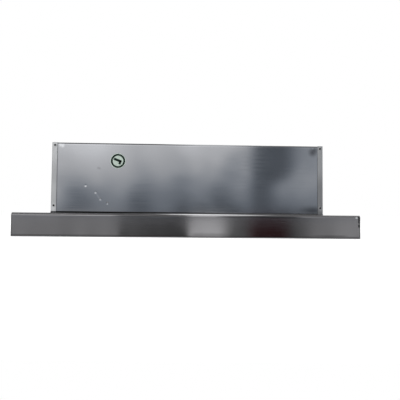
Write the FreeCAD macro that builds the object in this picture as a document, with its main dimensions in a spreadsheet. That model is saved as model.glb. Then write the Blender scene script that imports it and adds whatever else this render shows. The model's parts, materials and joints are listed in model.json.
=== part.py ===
import FreeCAD, Part
import math
import os
from types import SimpleNamespace

import Sketcher

# A telescopic range hood, in millimetres. X runs across, -Y is the front, Z is up.
# The origin lies under the middle of the closed hood, on the surface that it stands on.

Vector = FreeCAD.Vector
DOCUMENT = FreeCAD.newDocument("range_hood")
NODES = []

# Driving dimensions
SIZES = {
    # sheet metal and clearances
    "sheet": 1.0,
    "bend": 1.5,
    "near_gap": 0.3,
    "running_gap": 0.05,
    "overrun": 2.0,
    # whole hood
    "hood_width": 598.0,
    "hood_depth": 300.0,
    # upper box
    "body_side_inset": 52.0,
    "body_front_inset": 5.0,
    "body_height": 125.0,
    "cheek_fold": 9.5,
    "panel_bend": 2.5,
    "panel_return": 14.0,
    "panel_side_gap": 0.5,
    "top_skirt": 14.0,
    "seal_thickness": 2.5,
    "seal_width": 12.0,
    "rivet_inset": 5.5,
    "rivet_top_inset": 5.3,
    "rivet_bottom_inset": 11.7,
    "rivet_head_radius": 2.3,
    "rivet_head_height": 1.0,
    "rivet_shank_radius": 1.4,
    # base
    "base_side_inset": 2.0,
    "base_height": 40.0,
    "base_corner": 2.0,
    "base_front_lip": 5.0,
    "air_opening_side_border": 20.0,
    "air_opening_end_border": 19.0,
    "air_opening_corner": 8.0,
    "cabinet_hole_radius": 2.75,
    "cabinet_hole_side_inset": 26.0,
    "cabinet_hole_front_inset": 64.0,
    "cabinet_hole_rear_inset": 60.0,
    "pod_width": 41.0,
    "pod_floor_height": 0.5,
    "pod_flange": 11.0,
    "pod_setback": 2.0,
    "crossbar_depth": 10.0,
    "crossbar_bottom": 1.0,
    # screws
    "screw_head_radius": 3.6,
    "screw_head_height": 2.0,
    "screw_shank_radius": 1.9,
    "screw_shank_length": 6.0,
    "base_screw_inset": 55.0,
    "fascia_screw_inset": 43.0,
    # drawer and its rails
    "drawer_side_gap": 12.0,
    "drawer_top_gap": 6.0,
    "drawer_bottom_gap": 3.5,
    "drawer_rear_gap": 5.5,
    "drawer_flange": 12.0,
    "drawer_top_rear_inset": 26.0,
    "rail_rear_gap": 20.0,
    "rail_margin": 2.0,
    "rail_clearance": 1.0,
    "outer_rail_depth": 7.0,
    "middle_rail_depth": 6.3,
    "inner_rail_depth": 6.0,
    "rail_web_gap": 1.7,
    # fascia
    "fascia_rise": 1.0,
    "fascia_bottom": 0.5,
    "fascia_depth": 24.0,
    "fascia_gap": 2.0,
    "fascia_top_bend": 4.5,
    "fascia_bottom_bend": 2.0,
    "fascia_return": 14.0,
    "fascia_lip_bottom": 8.0,
    "cap_thickness": 1.0,
    "cap_plug": 8.0,
    "bump_radius": 2.2,
    "bump_inset": 14.0,
    # grease filters
    "filter_height": 7.5,
    "filter_bottom": 2.0,
    "filter_border": 10.0,
    "filter_front_border": 18.0,
    "filter_side_gap": 1.0,
    "filter_corner": 4.0,
    "mesh_thickness": 3.5,
    "mesh_bite": 3.0,
    "mesh_slot_width": 5.0,
    "mesh_side_margin": 13.0,
    "mesh_end_margin": 12.0,
    "mesh_bridge": 8.0,
    "drawer_filter_height": 6.0,
    "drawer_mesh_thickness": 3.0,
    "latch_width": 29.4,
    "latch_depth": 6.0,
    "latch_travel": 4.0,
    "latch_inset": 2.0,
    "latch_height": 6.5,
    "latch_tongue_width": 12.0,
    "latch_tongue_height": 3.0,
    "latch_grip": 1.5,
    # lamps
    "lamp_panel_bottom": 2.0,
    "lamp_panel_end_gap": 0.3,
    "lamp_spacing": 300.0,
    "lamp_front_margin": 8.0,
    "lamp_rear_margin": 4.5,
    "lamp_taper": 7.5,
    "lamp_depth": 22.0,
    "lamp_wall": 1.2,
    "bezel_flange": 7.5,
    "bezel_inner_radius": 24.5,
    "bezel_wall": 1.5,
    "bezel_height": 1.2,
    "lens_thickness": 1.6,
    "bulb_radius": 6.0,
    "bulb_length": 13.0,
    # controls
    "control_width": 28.0,
    "control_length": 80.0,
    "control_inset": 10.0,
    "control_depth": 6.0,
    "control_wall": 1.0,
    "control_margin": 6.0,
    "slider_stem_width": 2.0,
    "slider_stem_length": 4.0,
    "slider_stem_height": 3.8,
    "slider_knob_width": 10.0,
    "slider_knob_length": 10.0,
    "slider_knob_height": 4.0,
    "slider_round": 0.8,
    "speed_travel": 18.0,
    "light_travel": 6.0,
    "slider_spacing": 24.0,
    "switch_body_height": 13.5,
    "switch_body_inset": 3.0,
    # drawer microswitch
    "microswitch_width": 10.0,
    "microswitch_depth": 20.0,
    "microswitch_height": 15.0,
    "microswitch_inset": 5.0,
    "plunger_drop": 11.25,
    "plunger_radius": 1.5,
    "plunger_reach": 3.5,
    "plunger_travel": 1.0,
    # electrics under the top panel
    "terminal_box_width": 60.0,
    "terminal_box_depth": 40.0,
    "terminal_box_height": 28.0,
    "terminal_box_wall": 2.0,
    "electrics_side_inset": 65.0,
    "electrics_rear_inset": 34.0,
    "gland_radius": 10.0,
    "gland_height": 12.0,
    "gland_thread_radius": 7.5,
    "gland_thread_length": 8.0,
    "gland_bore_radius": 3.5,
    "gland_round": 3.0,
    "gland_hex_height": 4.0,
    "capacitor_radius": 15.0,
    "capacitor_length": 50.0,
    "capacitor_bevel": 2.0,
    "capacitor_stud_radius": 4.0,
    "capacitor_stud_length": 5.0,
    # fan
    "fan_lead": 15.0,
    "scroll_step": 6.0,
    "scroll_clearance": 5.5,
    "scroll_wall": 1.5,
    "scroll_half_width": 52.0,
    "tongue_offset": 12.0,
    "inlet_margin": 1.5,
    "inlet_lip": 4.0,
    "impeller_gap": 4.0,
    "blade_inset": 1.0,
    "blade_depth": 8.0,
    "blade_thickness": 0.8,
    "blade_curve": 6.0,
    "impeller_side_gap": 2.5,
    "impeller_ring_width": 3.5,
    "impeller_ring_thickness": 2.0,
    "impeller_disc_thickness": 1.5,
    "hub_radius": 8.0,
    "hub_length": 18.0,
    "shaft_radius": 3.0,
    "shaft_overhang": 8.0,
    "shaft_grip": 28.0,
    "motor_length": 60.0,
    "motor_gap": 7.5,
    "motor_boss_radius": 8.0,
    "motor_boss_length": 4.0,
    "motor_round": 3.0,
    "bracket_thickness": 2.0,
    "bracket_ring_width": 4.0,
    "bracket_arm_width": 7.0,
    "bracket_foot_radius": 3.0,
    "bracket_foot_gap": 0.5,
    "bracket_foot_length": 5.5,
    # duct outlet
    "duct_radius": 59.5,
    "duct_wall": 2.0,
    "collar_height": 17.0,
    "collar_flange_width": 10.5,
    "collar_flange_thickness": 2.0,
    "seat_width": 3.0,
    "seat_height": 1.5,
    "outlet_margin": 1.5,
    "adapter_height": 19.5,
    "adapter_wall": 1.5,
    "adapter_corner": 8.0,
    "pin_radius": 1.5,
    "pin_height": 5.3,
    "knuckle_wall": 1.0,
    "knuckle_length": 15.0,
    "knuckle_gap": 2.0,
    "knuckle_end_gap": 10.5,
    "flap_thickness": 1.0,
    "flap_axis_gap": 3.4,
    "collar_screw_inset": 5.0,
}

BLADE_COUNT = 30
BRACKET_ARMS = 3
FILTER_SLOTS = 12
DRAWER_SLOTS = 24
FASCIA_SCREWS = 4
DRAWER_SKIRT_SHARE = 0.6


class Size:
    """A length: its present value, and the sheet formula that gives it."""

    def __init__(self, value, text):
        self.value = value
        self.text = text

    def __add__(self, other):
        return Size(self.value + other.value, f"({self.text} + {other.text})")

    def __sub__(self, other):
        return Size(self.value - other.value, f"({self.text} - {other.text})")

    def __mul__(self, number):
        return Size(self.value * number, f"({self.text} * {number})")

    def __truediv__(self, number):
        return Size(self.value / number, f"({self.text} / {number})")

    def __neg__(self):
        return Size(-self.value, f"(-1 * {self.text})")


def leg(longest, short):
    """The other short side of a right triangle."""
    value = math.sqrt(longest.value ** 2 - short.value ** 2)
    return Size(value, f"sqrt({longest.text} ^ 2 - {short.text} ^ 2)")


def make_sheet():
    """Fill the spreadsheet and return its sizes by name."""
    sheet = DOCUMENT.addObject("Spreadsheet::Sheet", "Sizes")
    sizes = SimpleNamespace()
    for row, (name, value) in enumerate(SIZES.items(), start=1):
        sheet.set(f"A{row}", str(value))
        sheet.setAlias(f"A{row}", name)
        setattr(sizes, name, Size(value, f"Sizes.{name}"))
    DOCUMENT.recompute()
    return sizes


size = make_sheet()
ZERO = Size(0.0, "0")

# Levels and places that several pieces share
HALF_WIDTH = size.hood_width / 2
HALF_DEPTH = size.hood_depth / 2
HALF_BASE = HALF_WIDTH - size.base_side_inset
HALF_BODY = HALF_BASE - size.body_side_inset
FASCIA_REAR = size.fascia_depth - HALF_DEPTH
FASCIA_TOP = size.base_height + size.fascia_rise
BASE_FRONT = FASCIA_REAR + size.fascia_gap
TRAY_UNDERSIDE = size.base_height - size.sheet
BODY_REAR = HALF_DEPTH - size.rivet_head_height
BODY_FRONT = BASE_FRONT + size.body_front_inset
BODY_MIDDLE = (BODY_FRONT + BODY_REAR) / 2
BODY_BOTTOM = size.base_height + size.seal_thickness
BODY_TOP = BODY_BOTTOM + size.body_height
TOP_SURFACE = BODY_TOP - size.sheet
TOP_UNDERSIDE = TOP_SURFACE - size.sheet
POD_FRONT = BASE_FRONT + size.pod_setback
POD_REAR = HALF_DEPTH - size.sheet * 2
POD_FACE = HALF_BASE - size.pod_width
HALF_DRAWER = POD_FACE - size.drawer_side_gap
FILTER_TOP = size.filter_bottom + size.filter_height
DRAWER_BOTTOM = FILTER_TOP + size.drawer_bottom_gap
DRAWER_TOP = TRAY_UNDERSIDE - size.drawer_top_gap
RAIL_MIDDLE = (DRAWER_BOTTOM + DRAWER_TOP) / 2
RAIL_BOTTOM = DRAWER_BOTTOM - size.rail_margin
UNDER_RAILS = RAIL_BOTTOM - size.rail_clearance
CROSSBAR_REAR = BASE_FRONT + size.crossbar_depth
BEZEL_RADIUS = size.bezel_inner_radius + size.bezel_flange
LAMP_HOLE = size.bezel_inner_radius + size.bezel_wall + size.near_gap
LAMP_Y = POD_REAR - size.lamp_rear_margin - BEZEL_RADIUS
LAMP_PANEL_FRONT = LAMP_Y - BEZEL_RADIUS - size.lamp_front_margin
DRAWER_REAR = LAMP_PANEL_FRONT - size.drawer_rear_gap
SCROLL_TOP = TOP_UNDERSIDE - size.adapter_height
SCROLL_BOTTOM = BODY_BOTTOM + size.scroll_clearance
SCROLL_RADIUS = (SCROLL_TOP - SCROLL_BOTTOM - size.scroll_step) / 2
SCROLL_REAR = SCROLL_RADIUS + size.scroll_step * 3
SCROLL_SIDE = size.scroll_half_width + size.scroll_wall
FAN_Y = BODY_MIDDLE - size.fan_lead
FAN_Z = SCROLL_TOP - SCROLL_RADIUS
IMPELLER_RADIUS = SCROLL_RADIUS - size.scroll_wall - size.impeller_gap
BLADE_OUTER = IMPELLER_RADIUS - size.blade_inset
BLADE_INNER = BLADE_OUTER - size.blade_depth
INLET_RADIUS = BLADE_INNER + size.inlet_margin
BELL_RADIUS = INLET_RADIUS + size.inlet_lip + size.scroll_wall
MOTOR_RADIUS = BLADE_INNER - size.motor_gap
DUCT_Y = FAN_Y + (size.tongue_offset + SCROLL_REAR - size.scroll_wall) / 2
COLLAR_BORE = size.duct_radius - size.duct_wall
COLLAR_RADIUS = size.duct_radius + size.collar_flange_width
SEAT_RADIUS = COLLAR_BORE - size.seat_width
OUTLET_RADIUS = COLLAR_BORE - size.outlet_margin
ELECTRICS_X = HALF_BODY - size.electrics_side_inset
ELECTRICS_Y = BODY_REAR - size.electrics_rear_inset


def plane(body, role):
    """The origin plane or axis of a body."""
    for feature in body.Origin.OriginFeatures:
        if feature.Role == role:
            return feature
    raise ValueError(role)


def bind(item, prop, length):
    item.setExpression(prop, length.text)


def place(item, x=ZERO, y=ZERO, z=ZERO):
    """Put a piece at a place that follows the sheet."""
    bind(item, "Placement.Base.x", x)
    bind(item, "Placement.Base.y", y)
    bind(item, "Placement.Base.z", z)
    return item


def keep(item, label):
    """Name a finished sub-part and list it for writing."""
    item.Label = label
    NODES.append(item)
    return item


def new_body(name, x=ZERO, y=ZERO, z=ZERO):
    body = DOCUMENT.addObject("PartDesign::Body", name)
    return place(body, x, y, z)


def new_sketch(body, role, level):
    """A sketch on an origin plane, moved to a level along the world axis across it."""
    sketch = body.newObject("Sketcher::SketchObject", f"{body.Name}_sketch")
    sketch.AttachmentSupport = [(plane(body, role), "")]
    sketch.MapMode = "FlatFace"
    offset = -level if role == "XZ_Plane" else level
    bind(sketch, "AttachmentOffset.Base.z", offset)
    return sketch


def pin_point(sketch, index, position, x, y):
    """Fix one point of a sketch at a place that follows the sheet."""
    for kind, length in (("DistanceX", x), ("DistanceY", y)):
        rule = Sketcher.Constraint(kind, -1, 1, index, position, float(length.value))
        number = sketch.addConstraint(rule)
        sketch.setExpression(f"Constraints[{number}]", length.text)


def set_radius(sketch, index, radius):
    number = sketch.addConstraint(Sketcher.Constraint("Radius", index, float(radius.value)))
    sketch.setExpression(f"Constraints[{number}]", radius.text)


def sign(value):
    return (value > 0) - (value < 0)


def round_corners(corners):
    """Turn corners (x, y, radius) between runs along the axes into two points and an arc."""
    points = []
    for index, corner in enumerate(corners):
        if len(corner) != 3 or corner[2].value <= 0:
            points.append(corner if len(corner) == 4 else corner[:2])
            continue
        x, y, radius = corner
        before = corners[index - 1]
        after = corners[(index + 1) % len(corners)]
        back = (sign(before[0].value - x.value), sign(before[1].value - y.value))
        ahead = (sign(after[0].value - x.value), sign(after[1].value - y.value))
        turn = sign(ahead[1] * back[0] - ahead[0] * back[1])
        points.append((x + radius * back[0], y + radius * back[1], radius, -turn))
        points.append((x + radius * ahead[0], y + radius * ahead[1]))
    return points


def arc_between(start, end, radius, turn):
    """The short arc between two points, turning left for 1 and right for -1."""
    middle = (start + end) / 2
    chord = end - start
    across = Vector(-chord.y, chord.x, 0)
    across.normalize()
    rise = math.sqrt(max(radius ** 2 - (chord.Length / 2) ** 2, 0))
    centre = middle + across * (rise * turn)
    first, last = (start, end) if turn > 0 else (end, start)
    angle_first = math.atan2(first.y - centre.y, first.x - centre.x)
    angle_last = math.atan2(last.y - centre.y, last.x - centre.x)
    if angle_last < angle_first:
        angle_last += 2 * math.pi
    return Part.ArcOfCircle(Part.Circle(centre, Vector(0, 0, 1), radius), angle_first, angle_last)


def draw_outline(sketch, corners):
    """Draw a closed outline. A corner is (x, y), (x, y, radius) to round it, or
    (x, y, radius, turn) where an arc runs on to the next corner."""
    points = round_corners(corners)
    flat = [Vector(point[0].value, point[1].value, 0) for point in points]
    first = sketch.GeometryCount
    ends = []
    for index, point in enumerate(points):
        start = flat[index]
        end = flat[(index + 1) % len(flat)]
        if len(point) == 4:
            sketch.addGeometry(arc_between(start, end, point[2].value, point[3]))
            ends.append((1, 2) if point[3] > 0 else (2, 1))
        else:
            sketch.addGeometry(Part.LineSegment(start, end))
            ends.append((1, 2))
    for index, point in enumerate(points):
        following = (index + 1) % len(points)
        sketch.addConstraint(Sketcher.Constraint("Coincident", first + index, ends[index][1],
                                                 first + following, ends[following][0]))
    for index, point in enumerate(points):
        pin_point(sketch, first + index, ends[index][0], point[0], point[1])
        if len(point) == 4:
            set_radius(sketch, first + index, point[2])


def draw_circle(sketch, x, y, radius):
    circle = Part.Circle(Vector(x.value, y.value, 0), Vector(0, 0, 1), radius.value)
    index = sketch.addGeometry(circle)
    set_radius(sketch, index, radius)
    pin_point(sketch, index, 3, x, y)


def draw_shapes(sketch, shapes):
    """Draw outlines (lists of corners) and circles (x, y, radius)."""
    for shape in shapes:
        if isinstance(shape, list):
            draw_outline(sketch, shape)
        else:
            draw_circle(sketch, *shape)


def pad(body, role, low, high, *shapes):
    """Add material between two levels across the plane."""
    upward = role != "XZ_Plane"
    sketch = new_sketch(body, role, low if upward else high)
    draw_shapes(sketch, shapes)
    feature = body.newObject("PartDesign::Pad", f"{body.Name}_pad")
    feature.Profile = sketch
    bind(feature, "Length", high - low)
    return feature


def cut(body, role, low, high, *shapes):
    """Take material away between two levels across the plane."""
    upward = role != "XZ_Plane"
    sketch = new_sketch(body, role, high if upward else low)
    draw_shapes(sketch, shapes)
    feature = body.newObject("PartDesign::Pocket", f"{body.Name}_pocket")
    feature.Profile = sketch
    bind(feature, "Length", high - low)
    return feature


def turn_about(body, role, corners, axis):
    """Turn an outline about an axis of its sketch."""
    sketch = new_sketch(body, role, ZERO)
    draw_outline(sketch, corners)
    feature = body.newObject("PartDesign::Revolution", f"{body.Name}_revolution")
    feature.Profile = sketch
    feature.ReferenceAxis = (sketch, [axis])
    feature.Angle = 360
    return feature


def repeat_around(body, feature, axis, count):
    """Repeat a feature evenly around an origin axis."""
    pattern = body.newObject("PartDesign::PolarPattern", f"{body.Name}_ring")
    pattern.Originals = [feature]
    pattern.Axis = (plane(body, axis), [""])
    pattern.Angle = 360
    pattern.Occurrences = count
    body.Tip = pattern
    return pattern


def repeat_along(body, feature, axis, span, count, second=None):
    """Repeat a feature along an origin axis, and along a second one where given."""
    pattern = body.newObject("PartDesign::LinearPattern", f"{body.Name}_row")
    pattern.Originals = [feature]
    pattern.Direction = (plane(body, axis), [""])
    bind(pattern, "Length", span)
    pattern.Occurrences = count
    if second:
        pattern.Direction2 = (plane(body, second[0]), [""])
        bind(pattern, "Length2", second[1])
        pattern.Occurrences2 = second[2]
    body.Tip = pattern
    return pattern


def rectangle(x_low, x_high, y_low, y_high, radius=None):
    """A rectangle, with round corners where a radius is given."""
    places = [(x_low, y_low), (x_high, y_low), (x_high, y_high), (x_low, y_high)]
    if radius is None:
        return places
    return [(x, y, radius) for x, y in places]


def channel(web, low_end, high_end, low, high, low_bend, high_bend, wall):
    """The section of a folded channel: a web from low to high, and two flanges that run
    from it to low_end and high_end."""
    inward = wall * sign(high_end.value - web.value)
    return [
        (low_end, low),
        (web, low, low_bend),
        (web, high, high_bend),
        (high_end, high),
        (high_end, high - wall),
        (web + inward, high - wall, high_bend - wall),
        (web + inward, low + wall, low_bend - wall),
        (low_end, low + wall),
    ]


def swap(corners):
    """The same outline with its two axes exchanged."""
    return [(corner[1], corner[0]) + tuple(corner[2:]) for corner in corners]


def span(side, near, far):
    """Two distances from the middle plane as a low and a high X on one side."""
    return (near, far) if side > 0 else (-far, -near)


def side_name(side):
    return "right" if side > 0 else "left"


def cylinder(name, radius, length, direction, x, y, z):
    """A plain cylinder that starts at a place and runs along a direction."""
    item = DOCUMENT.addObject("Part::Cylinder", name)
    bind(item, "Radius", radius)
    bind(item, "Height", length)
    item.Placement.Rotation = FreeCAD.Rotation(Vector(0, 0, 1), Vector(*direction))
    return place(item, x, y, z)


def group(label, items):
    """Separate solids that share one node."""
    compound = DOCUMENT.addObject("Part::Compound", label)
    compound.Links = items
    return keep(compound, label)


def fastener(name, head_radius, head_height, shank_radius, shank_length, direction, x, y, z):
    """A screw or rivet: its head lies on the surface at x, y, z and its shank runs on."""
    outward = tuple(-part for part in direction)
    head = cylinder(f"{name}_head", head_radius, head_height, outward, x, y, z)
    shank = cylinder(f"{name}_shank", shank_radius, shank_length, direction, x, y, z)
    whole = DOCUMENT.addObject("Part::Fuse", name)
    whole.Base = head
    whole.Tool = shank
    return whole


def screw(name, direction, x, y, z):
    return fastener(name, size.screw_head_radius, size.screw_head_height,
                    size.screw_shank_radius, size.screw_shank_length, direction, x, y, z)


def make_front_and_rear_panel():
    """The two folded panels that lie behind the cheeks' folded edges."""
    half_width = HALF_BODY - size.sheet * 2 - size.panel_side_gap
    front_face = BODY_FRONT + size.sheet
    rear_face = BODY_REAR - size.sheet
    inner_front = front_face + size.panel_return
    inner_rear = rear_face - size.panel_return
    for label, face, inner, sheet_low in (("front_panel", front_face, inner_front, front_face),
                                          ("rear_panel", rear_face, inner_rear, rear_face - size.sheet)):
        body = new_body(label)
        section = channel(face, inner, inner, BODY_BOTTOM, BODY_TOP, size.bend, size.panel_bend, size.sheet)
        pad(body, "YZ_Plane", -half_width, half_width, section)
        cut(body, "XY_Plane", BODY_BOTTOM - size.overrun, BODY_BOTTOM + size.sheet + size.overrun,
            *base_screw_holes())
        cut(body, "XZ_Plane", sheet_low - size.overrun, sheet_low + size.sheet + size.overrun,
            *rivet_holes((-1, 1)))
        keep(body, label)


def rivet_places(sides):
    """X and height of the rivets on the front or the rear."""
    heights = (BODY_TOP - size.rivet_top_inset, BODY_BOTTOM + size.rivet_bottom_inset)
    return [((HALF_BODY - size.rivet_inset) * side, height) for side in sides for height in heights]


def rivet_holes(sides):
    radius = size.rivet_shank_radius + size.running_gap
    return [(x, height, radius) for x, height in rivet_places(sides)]


def base_screw_places():
    """X and Y of the screws that hold the upper box's feet on the base."""
    inset = size.sheet + size.panel_return / 2
    return [((HALF_BODY - size.base_screw_inset) * side, y) for side in (-1, 1)
            for y in (BODY_FRONT + inset, BODY_REAR - inset)]


def base_screw_holes():
    radius = size.screw_shank_radius + size.running_gap
    return [(x, y, radius) for x, y in base_screw_places()]


def make_cheek(side):
    """A side plate of the upper box, with its front and rear edges folded in."""
    body = new_body(f"{side_name(side)}_cheek")
    fold_end = (HALF_BODY - size.cheek_fold) * side
    section = channel(HALF_BODY * side, fold_end, fold_end, BODY_FRONT, BODY_REAR,
                      size.bend, size.bend, size.sheet)
    pad(body, "XY_Plane", BODY_BOTTOM, BODY_TOP, section)
    cut(body, "XZ_Plane", BODY_FRONT - size.overrun, BODY_REAR + size.overrun, *rivet_holes((side,)))
    keep(body, f"{side_name(side)}_cheek")


def make_cheek_rivets():
    """Blind rivets through the cheeks' folds and the panels behind them."""
    made = []
    for number, (x, height) in enumerate(rivet_places((-1, 1))):
        for label, y, inward in (("front", BODY_FRONT, 1), ("rear", BODY_REAR, -1)):
            made.append(fastener(f"rivet_{label}_{number}", size.rivet_head_radius, size.rivet_head_height,
                                 size.rivet_shank_radius, size.sheet * 2, (0, inward, 0), x, y, height))
    return made


def make_top_panel():
    """The top plate, with its sides turned down against the cheeks."""
    body = new_body("top_panel")
    side = HALF_BODY - size.sheet
    low = TOP_SURFACE - size.top_skirt
    section = swap(channel(TOP_SURFACE, low, low, -side, side, size.bend, size.bend, size.sheet))
    panel_front = BODY_FRONT + size.sheet + size.panel_bend
    panel_rear = BODY_REAR - size.sheet - size.panel_bend
    pad(body, "XZ_Plane", panel_front, panel_rear, section)
    cut(body, "XY_Plane", TOP_UNDERSIDE - size.overrun, TOP_SURFACE + size.overrun,
        (ZERO, DUCT_Y, OUTLET_RADIUS),
        (ELECTRICS_X, ELECTRICS_Y, size.gland_thread_radius + size.running_gap),
        (-ELECTRICS_X, ELECTRICS_Y, size.capacitor_stud_radius + size.running_gap),
        *collar_screw_holes(DUCT_Y))
    keep(body, "top_panel")


def make_body_seal():
    """A foam strip all round between the upper box and the base."""
    body = new_body("body_seal")
    pad(body, "XY_Plane", size.base_height, BODY_BOTTOM,
        rectangle(-HALF_BODY, HALF_BODY, BODY_FRONT, BODY_REAR),
        rectangle(size.seal_width - HALF_BODY, HALF_BODY - size.seal_width,
                  BODY_FRONT + size.seal_width, BODY_REAR - size.seal_width),
        *base_screw_holes())
    keep(body, "body_seal")


def make_base_tray():
    """The wide base: a plate with its edges turned down, and a large air opening."""
    body = new_body("base_tray")
    pad(body, "XY_Plane", ZERO, size.base_height,
        rectangle(-HALF_BASE, HALF_BASE, BASE_FRONT, HALF_DEPTH, size.base_corner))
    cut(body, "XY_Plane", -size.overrun, TRAY_UNDERSIDE,
        rectangle(size.sheet - HALF_BASE, HALF_BASE - size.sheet,
                  BASE_FRONT + size.sheet, HALF_DEPTH - size.sheet, size.base_corner - size.sheet))
    cut(body, "XZ_Plane", BASE_FRONT - size.overrun, BASE_FRONT + size.base_corner,
        rectangle(-HALF_BASE + size.base_corner, HALF_BASE - size.base_corner,
                  -size.overrun, size.base_height - size.base_front_lip))
    half_opening = HALF_BODY - size.air_opening_side_border
    border = size.air_opening_end_border
    cut(body, "XY_Plane", TRAY_UNDERSIDE - size.overrun, size.base_height + size.overrun,
        rectangle(-half_opening, half_opening, BODY_FRONT + border, BODY_REAR - border,
                  size.air_opening_corner))
    cut(body, "XY_Plane", TRAY_UNDERSIDE - size.overrun, size.base_height + size.overrun, *base_screw_holes())
    hole_x = HALF_BASE - size.cabinet_hole_side_inset
    front_y = BASE_FRONT + size.cabinet_hole_front_inset
    rear_y = HALF_DEPTH - size.cabinet_hole_rear_inset
    hole = cut(body, "XY_Plane", TRAY_UNDERSIDE - size.overrun, size.base_height + size.overrun,
               (-hole_x, front_y, size.cabinet_hole_radius))
    repeat_along(body, hole, "X_Axis", hole_x * 2, 2, ("Y_Axis", rear_y - front_y, 2))
    keep(body, "base_tray")


def control_place():
    """Low and high X and Y of the control recess in the right pod."""
    middle = (POD_FACE + HALF_BASE) / 2
    front = POD_FRONT + size.control_inset
    return (middle - size.control_width / 2, middle + size.control_width / 2,
            front, front + size.control_length)


def make_pod(side):
    """A folded side channel of the base, which carries the rails."""
    body = new_body(f"{side_name(side)}_pod")
    floor_end = (HALF_BASE - size.sheet) * side
    flange_end = (POD_FACE + size.pod_flange) * side
    section = channel(POD_FACE * side, floor_end, flange_end, size.pod_floor_height, TRAY_UNDERSIDE,
                      size.bend, size.bend, size.sheet)
    pad(body, "XZ_Plane", POD_FRONT, POD_REAR, section)
    if side > 0:
        x_low, x_high, y_low, y_high = control_place()
        gap = size.running_gap
        cut(body, "XY_Plane", -size.overrun, size.pod_floor_height + size.sheet + size.overrun,
            rectangle(x_low - gap, x_high + gap, y_low - gap, y_high + gap))
    keep(body, f"{side_name(side)}_pod")


def make_front_crossbar():
    """The bar under the drawer that holds the filters' front edges."""
    body = new_body("front_crossbar")
    section = swap(channel(size.crossbar_bottom, UNDER_RAILS, UNDER_RAILS, BASE_FRONT, CROSSBAR_REAR,
                           size.bend, size.bend, size.sheet))
    pad(body, "YZ_Plane", -POD_FACE, POD_FACE, section)
    keep(body, "front_crossbar")


def lamp_places():
    return [size.lamp_spacing / 2 * side for side in (-1, 1)]


def make_lamp_panel():
    """The fixed plate behind the filters, with a hole for each lamp."""
    body = new_body("lamp_panel")
    section = swap(channel(size.lamp_panel_bottom, UNDER_RAILS, UNDER_RAILS, LAMP_PANEL_FRONT, POD_REAR,
                           size.bend, size.bend, size.sheet))
    half_length = POD_FACE - size.lamp_panel_end_gap
    pad(body, "YZ_Plane", -half_length, half_length, section)
    cut(body, "XY_Plane", size.lamp_panel_bottom - size.overrun,
        size.lamp_panel_bottom + size.sheet + size.overrun,
        *[(x, LAMP_Y, LAMP_HOLE) for x in lamp_places()])
    keep(body, "lamp_panel")


def make_lamp_housing(side):
    """A tapered lamp cup that stands on the lamp panel."""
    body = new_body(f"{side_name(side)}_lamp_housing", size.lamp_spacing / 2 * side, LAMP_Y,
                    size.lamp_panel_bottom + size.sheet)
    wall = size.lamp_wall
    rim = LAMP_HOLE + wall
    top = rim - size.lamp_taper
    turn_about(body, "XZ_Plane", [
        (ZERO, size.lamp_depth),
        (top, size.lamp_depth),
        (rim, ZERO),
        (rim - wall, ZERO),
        (top - wall, size.lamp_depth - wall),
        (ZERO, size.lamp_depth - wall),
    ], "V_Axis")
    keep(body, f"{side_name(side)}_lamp_housing")


def make_lamp_fittings():
    """Bezels below the lamp panel, and the lenses and bulbs inside them."""
    bezels = []
    lenses = []
    bulbs = []
    low = size.lamp_panel_bottom - size.bezel_height
    collar_top = size.lamp_panel_bottom + size.sheet
    collar_radius = size.bezel_inner_radius + size.bezel_wall
    for number, x in enumerate(lamp_places()):
        bezel = new_body(f"bezel_{number}", x, LAMP_Y)
        bevel = size.bezel_height / 2
        turn_about(bezel, "XZ_Plane", [
            (size.bezel_inner_radius, low),
            (BEZEL_RADIUS - bevel, low),
            (BEZEL_RADIUS, low + bevel),
            (BEZEL_RADIUS, size.lamp_panel_bottom),
            (collar_radius, size.lamp_panel_bottom),
            (collar_radius, collar_top),
            (size.bezel_inner_radius, collar_top),
        ], "V_Axis")
        bezels.append(bezel)
        lenses.append(cylinder(f"lens_{number}", size.bezel_inner_radius - size.near_gap, size.lens_thickness,
                               (0, 0, 1), x, LAMP_Y, collar_top - size.lens_thickness))
        bulb_top = collar_top + size.lamp_depth - size.lamp_wall
        bulbs.append(make_bulb(f"bulb_{number}", x, bulb_top))
    group("lamp_bezels", bezels)
    group("lamp_lenses", lenses)
    group("lamp_bulbs", bulbs)


def make_bulb(name, x, top):
    """A capsule bulb that hangs from the top of its cup."""
    bulb = new_body(name, x, LAMP_Y, top - size.bulb_length)
    turn_about(bulb, "XZ_Plane", [
        (ZERO, ZERO),
        (size.bulb_radius, ZERO, size.bulb_radius / 2),
        (size.bulb_radius, size.bulb_length),
        (ZERO, size.bulb_length),
    ], "V_Axis")
    return bulb


def slider_slots():
    """Front end, length and name of each slider's slot."""
    front = control_place()[2] + size.control_margin
    ends = size.slider_stem_length + size.near_gap * 2
    speed_length = size.speed_travel + ends
    light_front = front + speed_length + size.slider_spacing
    return (("speed_slider", front, speed_length), ("light_slider", light_front, size.light_travel + ends))


def slot_outlines():
    x_low, x_high = control_place()[:2]
    middle = (x_low + x_high) / 2
    half = size.slider_stem_width / 2 + size.near_gap
    return [rectangle(middle - half, middle + half, front, front + length)
            for _, front, length in slider_slots()]


def make_control_plate():
    """The recessed tub in the right pod's floor, with a slot for each slider."""
    body = new_body("control_plate")
    x_low, x_high, y_low, y_high = control_place()
    low = size.pod_floor_height
    high = low + size.control_depth
    wall = size.control_wall
    pad(body, "XY_Plane", low, high, rectangle(x_low, x_high, y_low, y_high))
    cut(body, "XY_Plane", low - size.overrun, high - wall,
        rectangle(x_low + wall, x_high - wall, y_low + wall, y_high - wall, wall))
    cut(body, "XY_Plane", high - wall - size.overrun, high + size.overrun, *slot_outlines())
    keep(body, "control_plate")


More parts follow.
